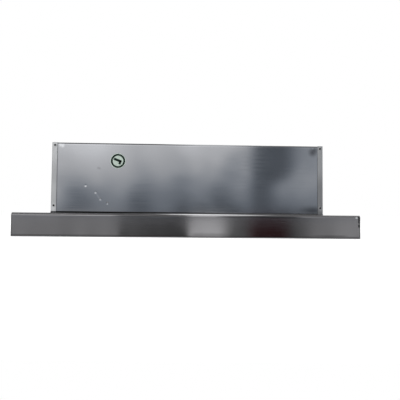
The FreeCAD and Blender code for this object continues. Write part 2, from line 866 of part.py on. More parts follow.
def make_switch_body():
    """The slide switches' housing, on top of the control plate."""
    body = new_body("switch_body")
    x_low, x_high, y_low, y_high = control_place()
    inset = size.switch_body_inset
    low = size.pod_floor_height + size.control_depth
    pad(body, "XY_Plane", low, low + size.switch_body_height,
        rectangle(x_low + inset, x_high - inset, y_low + inset, y_high - inset))
    cut(body, "XY_Plane", low - size.overrun, low + size.slider_stem_height, *slot_outlines())
    keep(body, "switch_body")


def make_slider(label, front):
    """A knob under the control plate with a stem that reaches up through the slot."""
    body = new_body(label)
    x_low, x_high = control_place()[:2]
    middle = (x_low + x_high) / 2
    plate_bottom = size.pod_floor_height + size.control_depth - size.control_wall
    knob_top = plate_bottom - size.near_gap
    stem_front = front + size.near_gap
    centre = stem_front + size.slider_stem_length / 2
    half_width = size.slider_knob_width / 2
    half_length = size.slider_knob_length / 2
    half_stem = size.slider_stem_width / 2
    pad(body, "XY_Plane", knob_top - size.slider_knob_height, knob_top,
        rectangle(middle - half_width, middle + half_width, centre - half_length, centre + half_length,
                  size.slider_round))
    notch = size.slider_knob_height / 2
    cut(body, "YZ_Plane", middle - half_width - size.overrun, middle + half_width + size.overrun,
        (centre, knob_top - size.slider_knob_height - notch / 2, notch))
    pad(body, "XY_Plane", knob_top, knob_top + size.slider_stem_height,
        rectangle(middle - half_stem, middle + half_stem, stem_front, stem_front + size.slider_stem_length))
    keep(body, label)


def make_microswitch():
    """The switch that the closed drawer presses, and its plunger."""
    outer = HALF_DRAWER - size.microswitch_inset
    inner = outer - size.microswitch_width
    front = DRAWER_REAR + size.near_gap + size.plunger_reach
    middle = -(outer + inner) / 2
    height = TRAY_UNDERSIDE - size.plunger_drop
    bore_depth = size.plunger_reach + size.plunger_travel + size.near_gap
    body = new_body("microswitch_body")
    pad(body, "XY_Plane", TRAY_UNDERSIDE - size.microswitch_height, TRAY_UNDERSIDE,
        rectangle(-outer, -inner, front, front + size.microswitch_depth))
    cut(body, "XZ_Plane", front - size.overrun, front + bore_depth,
        (middle, height, size.plunger_radius + size.running_gap))
    keep(body, "microswitch_body")
    plunger = cylinder("microswitch_plunger", size.plunger_radius, size.plunger_reach * 2, (0, 1, 0),
                       middle, DRAWER_REAR + size.near_gap, height)
    keep(plunger, "microswitch_plunger")


def make_terminal_box():
    """A closed box for the mains joint, under the top panel, open to the gland."""
    body = new_body("terminal_box", ELECTRICS_X, ELECTRICS_Y, TOP_UNDERSIDE)
    half_width = size.terminal_box_width / 2
    half_depth = size.terminal_box_depth / 2
    wall = size.terminal_box_wall
    pad(body, "XY_Plane", -size.terminal_box_height, ZERO,
        rectangle(-half_width, half_width, -half_depth, half_depth, wall))
    cut(body, "XY_Plane", wall - size.terminal_box_height, -wall,
        rectangle(wall - half_width, half_width - wall, wall - half_depth, half_depth - wall))
    cut(body, "XY_Plane", -size.gland_thread_length, size.overrun,
        (ZERO, ZERO, size.gland_thread_radius + size.running_gap))
    keep(body, "terminal_box")


def make_cable_gland():
    """The domed gland on the top panel; its bore takes the mains lead."""
    body = new_body("cable_gland", ELECTRICS_X, ELECTRICS_Y, TOP_SURFACE)
    radius = size.gland_radius
    turn_about(body, "XZ_Plane", [
        (size.gland_bore_radius, -size.gland_thread_length),
        (size.gland_thread_radius, -size.gland_thread_length),
        (size.gland_thread_radius, ZERO),
        (radius, ZERO),
        (radius, size.gland_hex_height),
        (radius - size.sheet, size.gland_hex_height),
        (radius - size.sheet, size.gland_height, size.gland_round),
        (size.gland_bore_radius, size.gland_height),
    ], "V_Axis")
    keep(body, "cable_gland")


def make_capacitor():
    """The motor's run capacitor, hung from the top panel by its stud."""
    body = new_body("capacitor", -ELECTRICS_X, ELECTRICS_Y, TOP_UNDERSIDE)
    radius = size.capacitor_radius
    bevel = size.capacitor_bevel
    turn_about(body, "XZ_Plane", [
        (ZERO, -size.capacitor_length),
        (radius - bevel, -size.capacitor_length),
        (radius, bevel - size.capacitor_length),
        (radius, -bevel),
        (radius - bevel, ZERO),
        (size.capacitor_stud_radius, ZERO),
        (size.capacitor_stud_radius, size.capacitor_stud_length),
        (ZERO, size.capacitor_stud_length),
    ], "V_Axis")
    keep(body, "capacitor")


def scroll_outline(inset):
    """The four-centre scroll about the fan axis, open at the top when it is inset."""
    step = size.scroll_step
    first = SCROLL_RADIUS - inset
    second = first + step
    third = second + step
    rear = step + third
    if inset is ZERO:
        top = SCROLL_RADIUS
        return [(ZERO, first, first, 1), (-first, ZERO, second, 1), (step, -second, third, 1),
                (rear, step), (rear, top)]
    top = SCROLL_RADIUS + size.overrun
    return [(ZERO, first, first, 1), (-first, ZERO, second, 1), (step, -second, third, 1),
            (rear, step), (rear, top), (size.tongue_offset, top),
            (size.tongue_offset, leg(first, size.tongue_offset), first, 1)]


def make_volute(side):
    """One half of the fan casing: a scroll wall and a side plate with a belled inlet."""
    label = f"{side_name(side)}_volute"
    body = new_body(label, ZERO, FAN_Y, FAN_Z)
    pad(body, "YZ_Plane", *span(side, ZERO, SCROLL_SIDE), scroll_outline(ZERO))
    low, high = span(side, ZERO, size.scroll_half_width)
    if side > 0:
        low = low - size.overrun
    else:
        high = high + size.overrun
    cut(body, "YZ_Plane", low, high, scroll_outline(size.scroll_wall))
    cut(body, "YZ_Plane", *span(side, size.scroll_half_width - size.overrun, SCROLL_SIDE + size.overrun),
        (ZERO, ZERO, INLET_RADIUS))
    turn_about(body, "XY_Plane", bell_outline(side), "H_Axis")
    keep(body, label)


def bell_outline(side):
    """The rounded lip of the inlet, as a section beside the fan axis."""
    lip = size.inlet_lip
    near = SCROLL_SIDE * side
    far = (SCROLL_SIDE + lip) * side
    return [(near, INLET_RADIUS, lip, side), (far, INLET_RADIUS + lip), (far, BELL_RADIUS),
            (near, BELL_RADIUS)]


def make_impeller():
    """A double-inlet wheel: forward-curved blades between a middle disc and two end rings."""
    body = new_body("impeller", ZERO, FAN_Y, FAN_Z)
    half_length = size.scroll_half_width - size.impeller_side_gap
    half_disc = size.impeller_disc_thickness / 2
    half_blade = size.blade_thickness / 2
    ring = size.impeller_ring_thickness
    pad(body, "YZ_Plane", -half_disc, half_disc, (ZERO, ZERO, BLADE_OUTER))
    pad(body, "YZ_Plane", -size.hub_length / 2, size.hub_length / 2, (ZERO, ZERO, size.hub_radius))
    blade = pad(body, "YZ_Plane", -half_length, half_length, [
        (BLADE_INNER, -half_blade, size.blade_curve, 1),
        (BLADE_OUTER, -half_blade),
        (BLADE_OUTER, half_blade, size.blade_curve, -1),
        (BLADE_INNER, half_blade),
    ])
    repeat_around(body, blade, "X_Axis", BLADE_COUNT)
    for low in (-half_length, half_length - ring):
        pad(body, "YZ_Plane", low, low + ring, (ZERO, ZERO, IMPELLER_RADIUS),
            (ZERO, ZERO, IMPELLER_RADIUS - size.impeller_ring_width))
    cut(body, "YZ_Plane", -size.hub_length / 2 - size.overrun, size.hub_length / 2 + size.overrun,
        (ZERO, ZERO, size.shaft_radius + size.running_gap))
    keep(body, "impeller")


def motor_front():
    """X of the motor's front face, beside the wheel's hub."""
    return size.hub_length / 2 + size.near_gap + size.motor_boss_length


def make_motor():
    """The motor can, which reaches out through the right inlet, and the shaft in its bore."""
    body = new_body("motor_can", ZERO, FAN_Y, FAN_Z)
    front = motor_front()
    rear = front + size.motor_length
    bore = size.shaft_radius + size.running_gap
    boss_front = front - size.motor_boss_length
    bore_end = boss_front + size.shaft_grip + size.near_gap
    turn_about(body, "XY_Plane", [
        (boss_front, bore),
        (boss_front, size.motor_boss_radius),
        (front, size.motor_boss_radius),
        (front, MOTOR_RADIUS, size.motor_round),
        (rear, MOTOR_RADIUS, size.motor_round),
        (rear, ZERO),
        (bore_end, ZERO),
        (bore_end, bore),
    ], "H_Axis")
    keep(body, "motor_can")
    shaft_start = -size.hub_length / 2 - size.shaft_overhang
    shaft = cylinder("motor_shaft", size.shaft_radius, boss_front + size.shaft_grip - shaft_start,
                     (1, 0, 0), shaft_start, FAN_Y, FAN_Z)
    keep(shaft, "motor_shaft")


def make_motor_bracket():
    """A ring with three arms that carries the motor on the right volute."""
    body = new_body("motor_bracket", ZERO, FAN_Y, FAN_Z)
    foot_end = SCROLL_SIDE + size.bracket_foot_length
    plate_end = foot_end + size.bracket_thickness
    inner = MOTOR_RADIUS + size.running_gap
    middle = inner + size.bracket_ring_width / 2
    foot_circle = BELL_RADIUS + size.bracket_foot_gap + size.bracket_foot_radius
    half_arm = size.bracket_arm_width / 2
    pad(body, "YZ_Plane", foot_end, plate_end, (ZERO, ZERO, inner),
        (ZERO, ZERO, inner + size.bracket_ring_width))
    arm = pad(body, "YZ_Plane", foot_end, plate_end,
              rectangle(middle, foot_circle, -half_arm, half_arm))
    repeat_around(body, arm, "X_Axis", BRACKET_ARMS)
    foot = pad(body, "YZ_Plane", SCROLL_SIDE, plate_end, (foot_circle, ZERO, size.bracket_foot_radius))
    repeat_around(body, foot, "X_Axis", BRACKET_ARMS)
    keep(body, "motor_bracket")


def adapter_loft(body, kind, low, high, half_width, half_depth, corner, radius):
    """A loft from the fan's flat outlet up to the round duct."""
    lower = new_sketch(body, "XY_Plane", low)
    draw_outline(lower, rectangle(-half_width, half_width, -half_depth, half_depth, corner))
    upper = new_sketch(body, "XY_Plane", high)
    draw_circle_in_eight(upper, radius)
    feature = body.newObject(kind, f"{body.Name}_loft")
    feature.Profile = lower
    feature.Sections = [upper]
    feature.Ruled = True
    return feature


def draw_circle_in_eight(sketch, radius):
    """A circle as eight arcs, which pair with the sides and corners of a rectangle."""
    long_leg = radius * math.cos(math.pi / 8)
    short_leg = radius * math.sin(math.pi / 8)
    draw_outline(sketch, [
        (-long_leg, -short_leg, radius, 1),
        (-short_leg, -long_leg, radius, 1),
        (short_leg, -long_leg, radius, 1),
        (long_leg, -short_leg, radius, 1),
        (long_leg, short_leg, radius, 1),
        (short_leg, long_leg, radius, 1),
        (-short_leg, long_leg, radius, 1),
        (-long_leg, short_leg, radius, 1),
    ])


def make_outlet_adapter():
    """The hood between the fan's outlet and the round hole in the top panel."""
    body = new_body("outlet_adapter", ZERO, DUCT_Y)
    half_throat = (SCROLL_REAR - size.scroll_wall - size.tongue_offset) / 2
    wall = size.adapter_wall
    adapter_loft(body, "PartDesign::AdditiveLoft", SCROLL_TOP, TOP_UNDERSIDE,
                 size.scroll_half_width + wall, half_throat + wall, size.adapter_corner, OUTLET_RADIUS + wall)
    adapter_loft(body, "PartDesign::SubtractiveLoft", SCROLL_TOP, TOP_UNDERSIDE,
                 size.scroll_half_width, half_throat, size.adapter_corner - wall, OUTLET_RADIUS)
    keep(body, "outlet_adapter")


def collar_screw_places(middle):
    """X and Y of the collar's four screws about a middle Y."""
    circle = COLLAR_RADIUS - size.collar_screw_inset
    angles = [math.pi / 4 + math.pi / 2 * quarter for quarter in range(4)]
    return [(circle * math.cos(angle), middle + circle * math.sin(angle)) for angle in angles]


def collar_screw_holes(middle):
    radius = size.screw_shank_radius + size.running_gap
    return [(x, y, radius) for x, y in collar_screw_places(middle)]


def make_duct_collar():
    """The round spigot on the top panel, with a seat for the flaps."""
    body = new_body("duct_collar", ZERO, DUCT_Y, TOP_SURFACE)
    outer = size.duct_radius
    flange = size.collar_flange_thickness
    rim_bevel = size.duct_wall / 4
    flange_bevel = flange / 2
    turn_about(body, "XZ_Plane", [
        (SEAT_RADIUS, flange),
        (COLLAR_BORE, flange),
        (COLLAR_BORE, ZERO),
        (COLLAR_RADIUS, ZERO),
        (COLLAR_RADIUS, flange - flange_bevel),
        (COLLAR_RADIUS - flange_bevel, flange),
        (outer, flange),
        (outer, size.collar_height - rim_bevel),
        (outer - rim_bevel, size.collar_height),
        (COLLAR_BORE, size.collar_height),
        (COLLAR_BORE, flange + size.seat_height),
        (SEAT_RADIUS, flange + size.seat_height),
    ], "V_Axis")
    cut(body, "YZ_Plane", -outer - size.overrun, outer + size.overrun,
        (ZERO, size.pin_height, size.pin_radius + size.running_gap))
    cut(body, "XY_Plane", -size.overrun, flange + size.overrun, *collar_screw_holes(ZERO))
    keep(body, "duct_collar")


def make_flaps():
    """Two half-round flaps on one pin across the collar."""
    pin = cylinder("flap_pin", size.pin_radius, size.duct_radius * 2, (1, 0, 0),
                   -size.duct_radius, DUCT_Y, TOP_SURFACE + size.pin_height)
    keep(pin, "flap_pin")
    bore = size.pin_radius + size.running_gap
    knuckle = bore + size.knuckle_wall
    plate_low = size.collar_flange_thickness + size.seat_height + size.near_gap - size.pin_height
    plate_high = plate_low + size.flap_thickness
    rim = COLLAR_BORE - size.near_gap
    side_x = leg(rim, size.flap_axis_gap)
    step = size.knuckle_length + size.knuckle_gap
    knuckle_end = SEAT_RADIUS - size.knuckle_end_gap
    for label, way in (("front_flap", -1), ("rear_flap", 1)):
        body = new_body(label, ZERO, DUCT_Y, TOP_SURFACE + size.pin_height)
        near = size.flap_axis_gap * way
        half_round = [(side_x * way, near, rim, 1), (ZERO, rim * way, rim, 1), (-side_x * way, near)]
        pad(body, "XY_Plane", plate_low, plate_high, half_round)
        first = -knuckle_end if way < 0 else step - knuckle_end
        pair = knuckle_end * 2 - size.knuckle_length - step
        for start in (first, first + pair):
            pad(body, "XY_Plane", plate_low, plate_high,
                rectangle(start, start + size.knuckle_length, *sorted_pair(ZERO, near + size.sheet * way)))
            pad(body, "YZ_Plane", start, start + size.knuckle_length, (ZERO, ZERO, knuckle))
        cut(body, "YZ_Plane", -rim, rim, (ZERO, ZERO, bore))
        keep(body, label)


def sorted_pair(one, other):
    return (one, other) if one.value < other.value else (other, one)


def make_rails(side):
    """The three channels of one slide: outer on the pod, middle, and inner on the drawer."""
    name = side_name(side)
    wall = size.sheet
    gap = size.near_gap
    half_outer = RAIL_MIDDLE - RAIL_BOTTOM
    half_middle = half_outer - wall - gap
    half_inner = half_middle - wall - gap
    middle_web = POD_FACE - wall - size.rail_web_gap
    rail_rear = POD_REAR - size.rail_rear_gap
    rails = (
        ("outer", POD_FACE, POD_FACE - size.outer_rail_depth, half_outer, rail_rear),
        ("middle", middle_web, middle_web - size.middle_rail_depth, half_middle, rail_rear),
        ("inner", HALF_DRAWER, HALF_DRAWER + size.inner_rail_depth, half_inner, DRAWER_REAR),
    )
    for kind, web, end, half, rear in rails:
        label = f"{name}_{kind}_rail"
        body = new_body(label)
        section = channel(web * side, end * side, end * side, RAIL_MIDDLE - half, RAIL_MIDDLE + half,
                          wall, wall, wall)
        pad(body, "XZ_Plane", POD_FRONT, rear, section)
        keep(body, label)


def make_drawer_frame():
    """The sliding frame: four walls and a narrow floor that the drawer filter lies on."""
    body = new_body("drawer_frame")
    wall = size.sheet
    flange = size.drawer_flange
    low = DRAWER_BOTTOM
    pad(body, "XY_Plane", low, DRAWER_TOP, rectangle(-HALF_DRAWER, HALF_DRAWER, FASCIA_REAR, DRAWER_REAR))
    cut(body, "XY_Plane", low + wall, DRAWER_TOP + size.overrun,
        rectangle(wall - HALF_DRAWER, HALF_DRAWER - wall, FASCIA_REAR + wall, DRAWER_REAR - wall))
    cut(body, "XY_Plane", low - size.overrun, low + wall + size.overrun,
        rectangle(flange - HALF_DRAWER, HALF_DRAWER - flange, FASCIA_REAR + flange, DRAWER_REAR - flange,
                  size.filter_corner))
    make_fascia_screw_holes(body, FASCIA_REAR - size.overrun, FASCIA_REAR + wall + size.overrun)
    keep(body, "drawer_frame")


def fascia_screw_span():
    return (HALF_DRAWER - size.fascia_screw_inset) * 2


def make_fascia_screw_holes(body, low, high):
    """A row of holes across the drawer's front wall or the fascia's rear lip."""
    width = fascia_screw_span()
    hole = cut(body, "XZ_Plane", low, high,
               (-width / 2, RAIL_MIDDLE, size.screw_shank_radius + size.running_gap))
    repeat_along(body, hole, "X_Axis", width, FASCIA_SCREWS)


def make_drawer_top():
    """The skin over the front of the drawer."""
    body = new_body("drawer_top")
    half_width = HALF_DRAWER - size.sheet
    room = DRAWER_TOP - (DRAWER_BOTTOM + size.sheet + size.drawer_filter_height)
    low = DRAWER_TOP - room * DRAWER_SKIRT_SHARE
    section = swap(channel(DRAWER_TOP, low, low, -half_width, half_width, size.bend, size.bend, size.sheet))
    pad(body, "XZ_Plane", FASCIA_REAR + size.sheet, DRAWER_REAR - size.drawer_top_rear_inset, section)
    keep(body, "drawer_top")


def fascia_end(inset):
    """The outline of the fascia's end, drawn in by an inset."""
    front = inset - HALF_DEPTH
    rear = FASCIA_REAR - inset
    low = size.fascia_bottom + inset
    high = FASCIA_TOP - inset
    return [
        (front, low, size.fascia_bottom_bend - inset),
        (rear, low),
        (rear, high, size.bend - inset),
        (front, high, size.fascia_top_bend - inset),
    ]


def make_fascia():
    """The folded front rail: a flat face, a rounded top edge and a turned-down rear lip."""
    body = new_body("fascia")
    wall = size.sheet
    front = -HALF_DEPTH
    low = size.fascia_bottom
    high = FASCIA_TOP
    return_end = front + size.fascia_return
    lip_end = size.fascia_lip_bottom
    half_width = HALF_WIDTH - size.cap_thickness
    pad(body, "YZ_Plane", -half_width, half_width, [
        (return_end, low),
        (front, low, size.fascia_bottom_bend),
        (front, high, size.fascia_top_bend),
        (FASCIA_REAR, high, size.bend),
        (FASCIA_REAR, lip_end),
        (FASCIA_REAR - wall, lip_end),
        (FASCIA_REAR - wall, high - wall, size.bend - wall),
        (front + wall, high - wall, size.fascia_top_bend - wall),
        (front + wall, low + wall, size.fascia_bottom_bend - wall),
        (return_end, low + wall),
    ])
    make_fascia_screw_holes(body, FASCIA_REAR - wall - size.overrun, FASCIA_REAR + size.overrun)
    keep(body, "fascia")


def make_fascia_cap(side):
    """An end plate with a plug that fills the fascia's end."""
    label = f"{side_name(side)}_fascia_cap"
    body = new_body(label)
    inner = HALF_WIDTH - size.cap_thickness
    pad(body, "YZ_Plane", *span(side, inner, HALF_WIDTH), fascia_end(ZERO))
    pad(body, "YZ_Plane", *span(side, inner - size.cap_plug, inner),
        fascia_end(size.sheet + size.running_gap))
    keep(body, label)


def make_fascia_screws():
    """Screws that hold the fascia's rear lip on the drawer frame."""
    width = fascia_screw_span()
    return [screw(f"fascia_screw_{number}", (0, -1, 0), width * (number / (FASCIA_SCREWS - 1)) - width / 2,
                  FASCIA_REAR + size.sheet, RAIL_MIDDLE) for number in range(FASCIA_SCREWS)]


def make_bump_stops():
    """Rubber stops on the fascia's rear lip, just off the base's front lip."""
    height = size.base_height - size.base_front_lip / 2
    return [cylinder(f"bump_stop_{side_name(side)}", size.bump_radius, size.fascia_gap - size.near_gap,
                     (0, 1, 0), (HALF_BASE - size.bump_inset) * side, FASCIA_REAR, height)
            for side in (-1, 1)]


def make_housing_screws():
    """Screws of the upper box's feet and of the duct collar."""
    made = []
    for number, (x, y) in enumerate(base_screw_places()):
        made.append(screw(f"base_screw_{number}", (0, 0, -1), x, y, BODY_BOTTOM + size.sheet))
    for number, (x, y) in enumerate(collar_screw_places(DUCT_Y)):
        made.append(screw(f"collar_screw_{number}", (0, 0, -1), x, y,
                          TOP_SURFACE + size.collar_flange_thickness))
    return made


def make_mesh(label, x_low, x_high, y_low, y_high, low, high, slots):
    """A filter's mesh pack: a slab with two rows of slots."""
    body = new_body(label)
    margin = size.mesh_end_margin
    half_bridge = size.mesh_bridge / 2
    middle = (y_low + y_high) / 2
    first = x_low + size.mesh_side_margin
    last = first + size.mesh_slot_width
    pad(body, "XY_Plane", low, high, rectangle(x_low, x_high, y_low, y_high))
    slot = cut(body, "XY_Plane", low - size.overrun, high + size.overrun,
               rectangle(first, last, y_low + margin, middle - half_bridge),
               rectangle(first, last, middle + half_bridge, y_high - margin))
    repeat_along(body, slot, "X_Axis", x_high - size.mesh_side_margin - last, slots)
    keep(body, label)


def filter_frame(body, x_low, x_high, y_low, y_high, low, high, front_border, mesh_low, mesh_high):
    """A filter's frame: a border round a window, with a groove for the mesh pack."""
    border = size.filter_border
    bite = size.mesh_bite + size.near_gap
    window = (x_low + border, x_high - border, y_low + front_border, y_high - border)
    pad(body, "XY_Plane", low, high, rectangle(x_low, x_high, y_low, y_high, size.filter_corner))
    cut(body, "XY_Plane", low - size.overrun, high + size.overrun, rectangle(*window))
    gap = size.running_gap
    cut(body, "XY_Plane", mesh_low - gap, mesh_high + gap,
        rectangle(window[0] - bite, window[1] + bite, window[2] - bite, window[3] + bite))
    return window


def make_drawer_filter():
    """The wide filter that lies in the drawer frame."""
    half_width = HALF_DRAWER - size.sheet - size.near_gap
    front = FASCIA_REAR + size.sheet + size.screw_head_height + size.near_gap
    rear = DRAWER_REAR - size.sheet - size.near_gap
    low = DRAWER_BOTTOM + size.sheet
    high = low + size.drawer_filter_height
    mesh_low = low + (size.drawer_filter_height - size.drawer_mesh_thickness) / 2
    mesh_high = mesh_low + size.drawer_mesh_thickness
    body = new_body("drawer_filter_frame")
    window = filter_frame(body, -half_width, half_width, front, rear, low, high,
                          size.filter_border, mesh_low, mesh_high)
    keep(body, "drawer_filter_frame")
    bite = size.mesh_bite
    make_mesh("drawer_filter_mesh", window[0] - bite, window[1] + bite, window[2] - bite, window[3] + bite,
              mesh_low, mesh_high, DRAWER_SLOTS)


def make_fixed_filter(side):
    """One of the two filters under the drawer, with its sliding latch."""
    name = side_name(side)
    x_low, x_high = span(side, size.filter_side_gap, POD_FACE - size.filter_side_gap)
    front = CROSSBAR_REAR + size.latch_inset
    rear = LAMP_PANEL_FRONT - size.near_gap
    low = size.filter_bottom
    high = FILTER_TOP
    mesh_low = low + (size.filter_height - size.mesh_thickness) / 2
    mesh_high = mesh_low + size.mesh_thickness
    middle = (x_low + x_high) / 2
    gap = size.near_gap
    body = new_body(f"{name}_filter_frame")
    window = filter_frame(body, x_low, x_high, front, rear, low, high,
                          size.filter_front_border, mesh_low, mesh_high)
    latch_front = front + size.latch_inset
    latch_rear = latch_front + size.latch_depth
    half_latch = size.latch_width / 2
    cut(body, "XY_Plane", low - size.overrun, high + size.overrun,
        rectangle(middle - half_latch - gap, middle + half_latch + gap,
                  latch_front - gap, latch_rear + size.latch_travel + gap))
    half_tongue = size.latch_tongue_width / 2
    tongue_low = low + (size.filter_height - size.latch_tongue_height) / 2
    tongue_high = tongue_low + size.latch_tongue_height
    cut(body, "XZ_Plane", front - size.overrun, latch_front,
        rectangle(middle - half_tongue - gap, middle + half_tongue + gap,
                  tongue_low - gap, tongue_high + gap))
    keep(body, f"{name}_filter_frame")
    bite = size.mesh_bite
    make_mesh(f"{name}_filter_mesh", window[0] - bite, window[1] + bite, window[2] - bite,
              window[3] + bite, mesh_low, mesh_high, FILTER_SLOTS)
    latch = new_body(f"{name}_latch")
    latch_low = low + (size.filter_height - size.latch_height) / 2
    pad(latch, "XY_Plane", latch_low, latch_low + size.latch_height,
        rectangle(middle - half_latch, middle + half_latch, latch_front, latch_rear))
    pad(latch, "XZ_Plane", CROSSBAR_REAR + gap, latch_front,
        rectangle(middle - half_tongue, middle + half_tongue, tongue_low, tongue_high))
    cut(latch, "YZ_Plane", middle - half_tongue, middle + half_tongue,
        ((latch_front + latch_rear) / 2, latch_low, size.latch_grip))
    keep(latch, f"{name}_latch")


def make_model():
    make_front_and_rear_panel()
    make_top_panel()
    make_body_seal()
    make_base_tray()
    make_front_crossbar()
    make_lamp_panel()
    make_lamp_fittings()
    make_control_plate()
    make_switch_body()
    for label, front, _ in slider_slots():
        make_slider(label, front)
    make_microswitch()
    make_terminal_box()
    make_cable_gland()
    make_capacitor()
    make_impeller()
    make_motor()
    make_motor_bracket()
    make_outlet_adapter()
    make_duct_collar()
    make_flaps()
    make_drawer_frame()
    make_drawer_top()
    make_drawer_filter()
    make_fascia()
    for side in (-1, 1):
        make_cheek(side)
        make_pod(side)
        make_lamp_housing(side)
        make_volute(side)
        make_rails(side)
        make_fascia_cap(side)
        make_fixed_filter(side)
    group("cheek_rivets", make_cheek_rivets())
    group("housing_screws", make_housing_screws())
    group("fascia_screws", make_fascia_screws())
    group("bump_stops", make_bump_stops())
    DOCUMENT.recompute()


def check_model():
    for item in DOCUMENT.Objects:
        if "Invalid" in item.State or "Error" in item.State:
            raise RuntimeError(f"{item.Name} failed: {item.State}")
    for node in NODES:
        if node.Shape.isNull() or not node.Shape.isValid():
            raise RuntimeError(f"{node.Label} has no valid shape")
        if not node.Shape.Solids:
            raise RuntimeError(f"{node.Label} has no solid")


def write_parts():
    os.makedirs("parts", exist_ok=True)
    for node in NODES:
        node.Shape.exportStep(f"parts/{node.Label}.step")
    print(len(NODES), "nodes written")


make_model()
check_model()
write_parts()
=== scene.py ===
import json
import math

import bmesh
import bpy
from mathutils import Matrix, Vector


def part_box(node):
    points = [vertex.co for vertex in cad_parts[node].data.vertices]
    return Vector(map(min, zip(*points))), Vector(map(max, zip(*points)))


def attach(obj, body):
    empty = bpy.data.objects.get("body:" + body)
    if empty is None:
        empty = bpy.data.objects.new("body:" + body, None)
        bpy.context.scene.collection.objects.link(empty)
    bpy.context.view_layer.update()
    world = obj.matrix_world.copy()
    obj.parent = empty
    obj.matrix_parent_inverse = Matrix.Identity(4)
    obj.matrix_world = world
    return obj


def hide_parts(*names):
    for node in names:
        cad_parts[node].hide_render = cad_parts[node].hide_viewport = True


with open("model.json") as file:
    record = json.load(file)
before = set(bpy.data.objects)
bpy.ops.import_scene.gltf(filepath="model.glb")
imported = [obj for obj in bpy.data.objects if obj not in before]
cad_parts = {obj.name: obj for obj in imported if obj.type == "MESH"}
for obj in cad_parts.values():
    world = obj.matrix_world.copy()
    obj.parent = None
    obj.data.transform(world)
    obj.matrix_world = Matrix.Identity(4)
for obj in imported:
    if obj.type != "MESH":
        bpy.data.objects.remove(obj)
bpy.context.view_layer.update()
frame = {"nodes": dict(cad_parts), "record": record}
NODES = frame["nodes"]

# The pieces made below: sizes in metres, and a few shares, counts and angles
MM = 0.001
STICKER_PLACE = (-0.1274, 0.1353)
STICKER_RADIUS = 0.0136
STICKER_RIM = 0.0009
STICKER_RING_WIDTH = 0.0032
STICKER_THICKNESS = 0.00015
STICKER_EDGE = STICKER_THICKNESS * 0.6
STICKER_PRINT_TOP = STICKER_THICKNESS * 1.4
STICKER_SEGMENTS = 64
TICK_WIDTH = 0.0042
TICK_OVERRUN = TICK_WIDTH / 2 * 0.9
TICK_POINTS = ((-0.0056, 0.0033), (0.0044, -0.0006), (0.0031, -0.0044))
RIVET_RADIUS = 0.0023
RIVET_HEIGHT = 0.001
RIVET_HOLE_RADIUS = 0.0016
RIVET_HOLE_DEPTH = 0.0006
RIVET_HOLE_TAPER = 0.9
RIVET_DOME_STEPS = 6
RIVET_SHADE_RADIUS = 0.0030
SCREW_CIRCLE = 0.065
SCREW_TOP = 0.1705
RECESS_LENGTH = 0.0042
RECESS_WIDTH = 0.0009
RECESS_HEIGHT = 0.00005
RECESS_TURN = 0.3
SMOOTH_ANGLE = math.radians(40)

# Colours that painted highlights, marks, painted shadows, holes and gaps fade to
PAINTED_HIGHLIGHT = (0.95, 0.96, 0.98, 1.0)
FLANGE_HIGHLIGHT = (0.95, 0.95, 0.96, 1.0)
WHITE = (1.0, 1.0, 1.0, 1.0)
SHADE_AND_MARKS = (0.03, 0.03, 0.035, 1.0)
DEEP_SHADE_AND_MARKS = (0.02, 0.02, 0.02, 1.0)
HOLE_SHADE = (0.008, 0.008, 0.008, 1.0)
MESH_GAP = (0.10, 0.10, 0.10, 1.0)

# Marks, painted highlights and dark patches on the front sheet: places are (x, z) in metres
PANEL_WAVE_DEPTH = 0.0008
KNOCKS = ((-0.1842, 0.0902), (-0.1664, 0.0783), (-0.1577, 0.0660), (-0.1448, 0.0587))
KNOCK_RADIUS = 0.0033
KNOCK_DEPTH = 0.00013
KNOCK_SHINE_RADIUS = 0.0026
KNOCK_SHINE_DROP = 0.0003
GLINT_ARC = ((-0.1646, 0.0750), (-0.1627, 0.0722), (-0.1609, 0.0697), (-0.1593, 0.0679), (-0.1558, 0.0643))
GLINT_ARC_RADIUS = 0.0024
LEFT_GLINTS = ((-0.2300, 0.1630), (-0.2268, 0.1618))
LEFT_GLINT_RADIUS = 0.0055
RIGHT_GLINT = ((0.2268, 0.1630),)
RIGHT_GLINT_RADIUS = 0.0034
SCUFF = ((-0.1625, 0.1222), (-0.1600, 0.1216))
SCUFF_RADIUS = 0.0036
DARK_PATCHES = ((0.2285, 0.1585), (0.2265, 0.1560))
DARK_PATCHES_RADIUS = 0.0115
WEDGE = ((0.2275, 0.0490),)
WEDGE_RADIUS = 0.0125
WEDGE_SQUEEZE = 0.4

# Where the front sheet's painted highlight and painted shade fade in, in metres from its upper edge, the
# flanges or its lower edge. The foot shadow's span runs along the sheet, and its last two numbers are the
# values at its ends
TOP_HIGHLIGHT = (0.0050, 0.0036)
TOP_EDGE_SHADE = (0.0030, 0.0018)
SEAM_SHADE = (0.0016, 0.0006)
PANEL_FOOT_SHADE = (0.0020, 0.0010)
PANEL_FOOT_SHADE_SPAN = (-0.02, 0.06, 0.97, 0.3)

# Painted highlights on the cheeks' front flanges, by the distance from a flange's inner edge and the height
FLANGE_MIDDLE = 0.005
GLARE_HEIGHT = 0.0475
GLARE_RADIUS = 0.015
HIGHLIGHT_CRESCENT_HEIGHT = 0.0510
HIGHLIGHT_CRESCENT_RADIUS = 0.0042

# Where the cheeks' painted shade fades in and out: metres from the outer bend, the foot or the front, then
# places from left to right, then heights. Two further numbers are the values at both ends
CHEEK_BEND_SHADE = (0.0014, 0.0004)
CHEEK_FOOT_SHADE = (0.0020, 0.0008)
FLANGE_DEPTH = (0.0030, 0.0010)
FOOT_SHADE_SIDES = (-0.1, 0.1, 0.95, 0.5)
SIDE_SPLIT = (0.1, 0.2)
RIGHT_FLANGE_SHADE = (0.126, 0.090, 0.05, 0.36)
LEFT_FLANGE_SHADE_SPAN = ((0.085, 0.105), (0.120, 0.145))
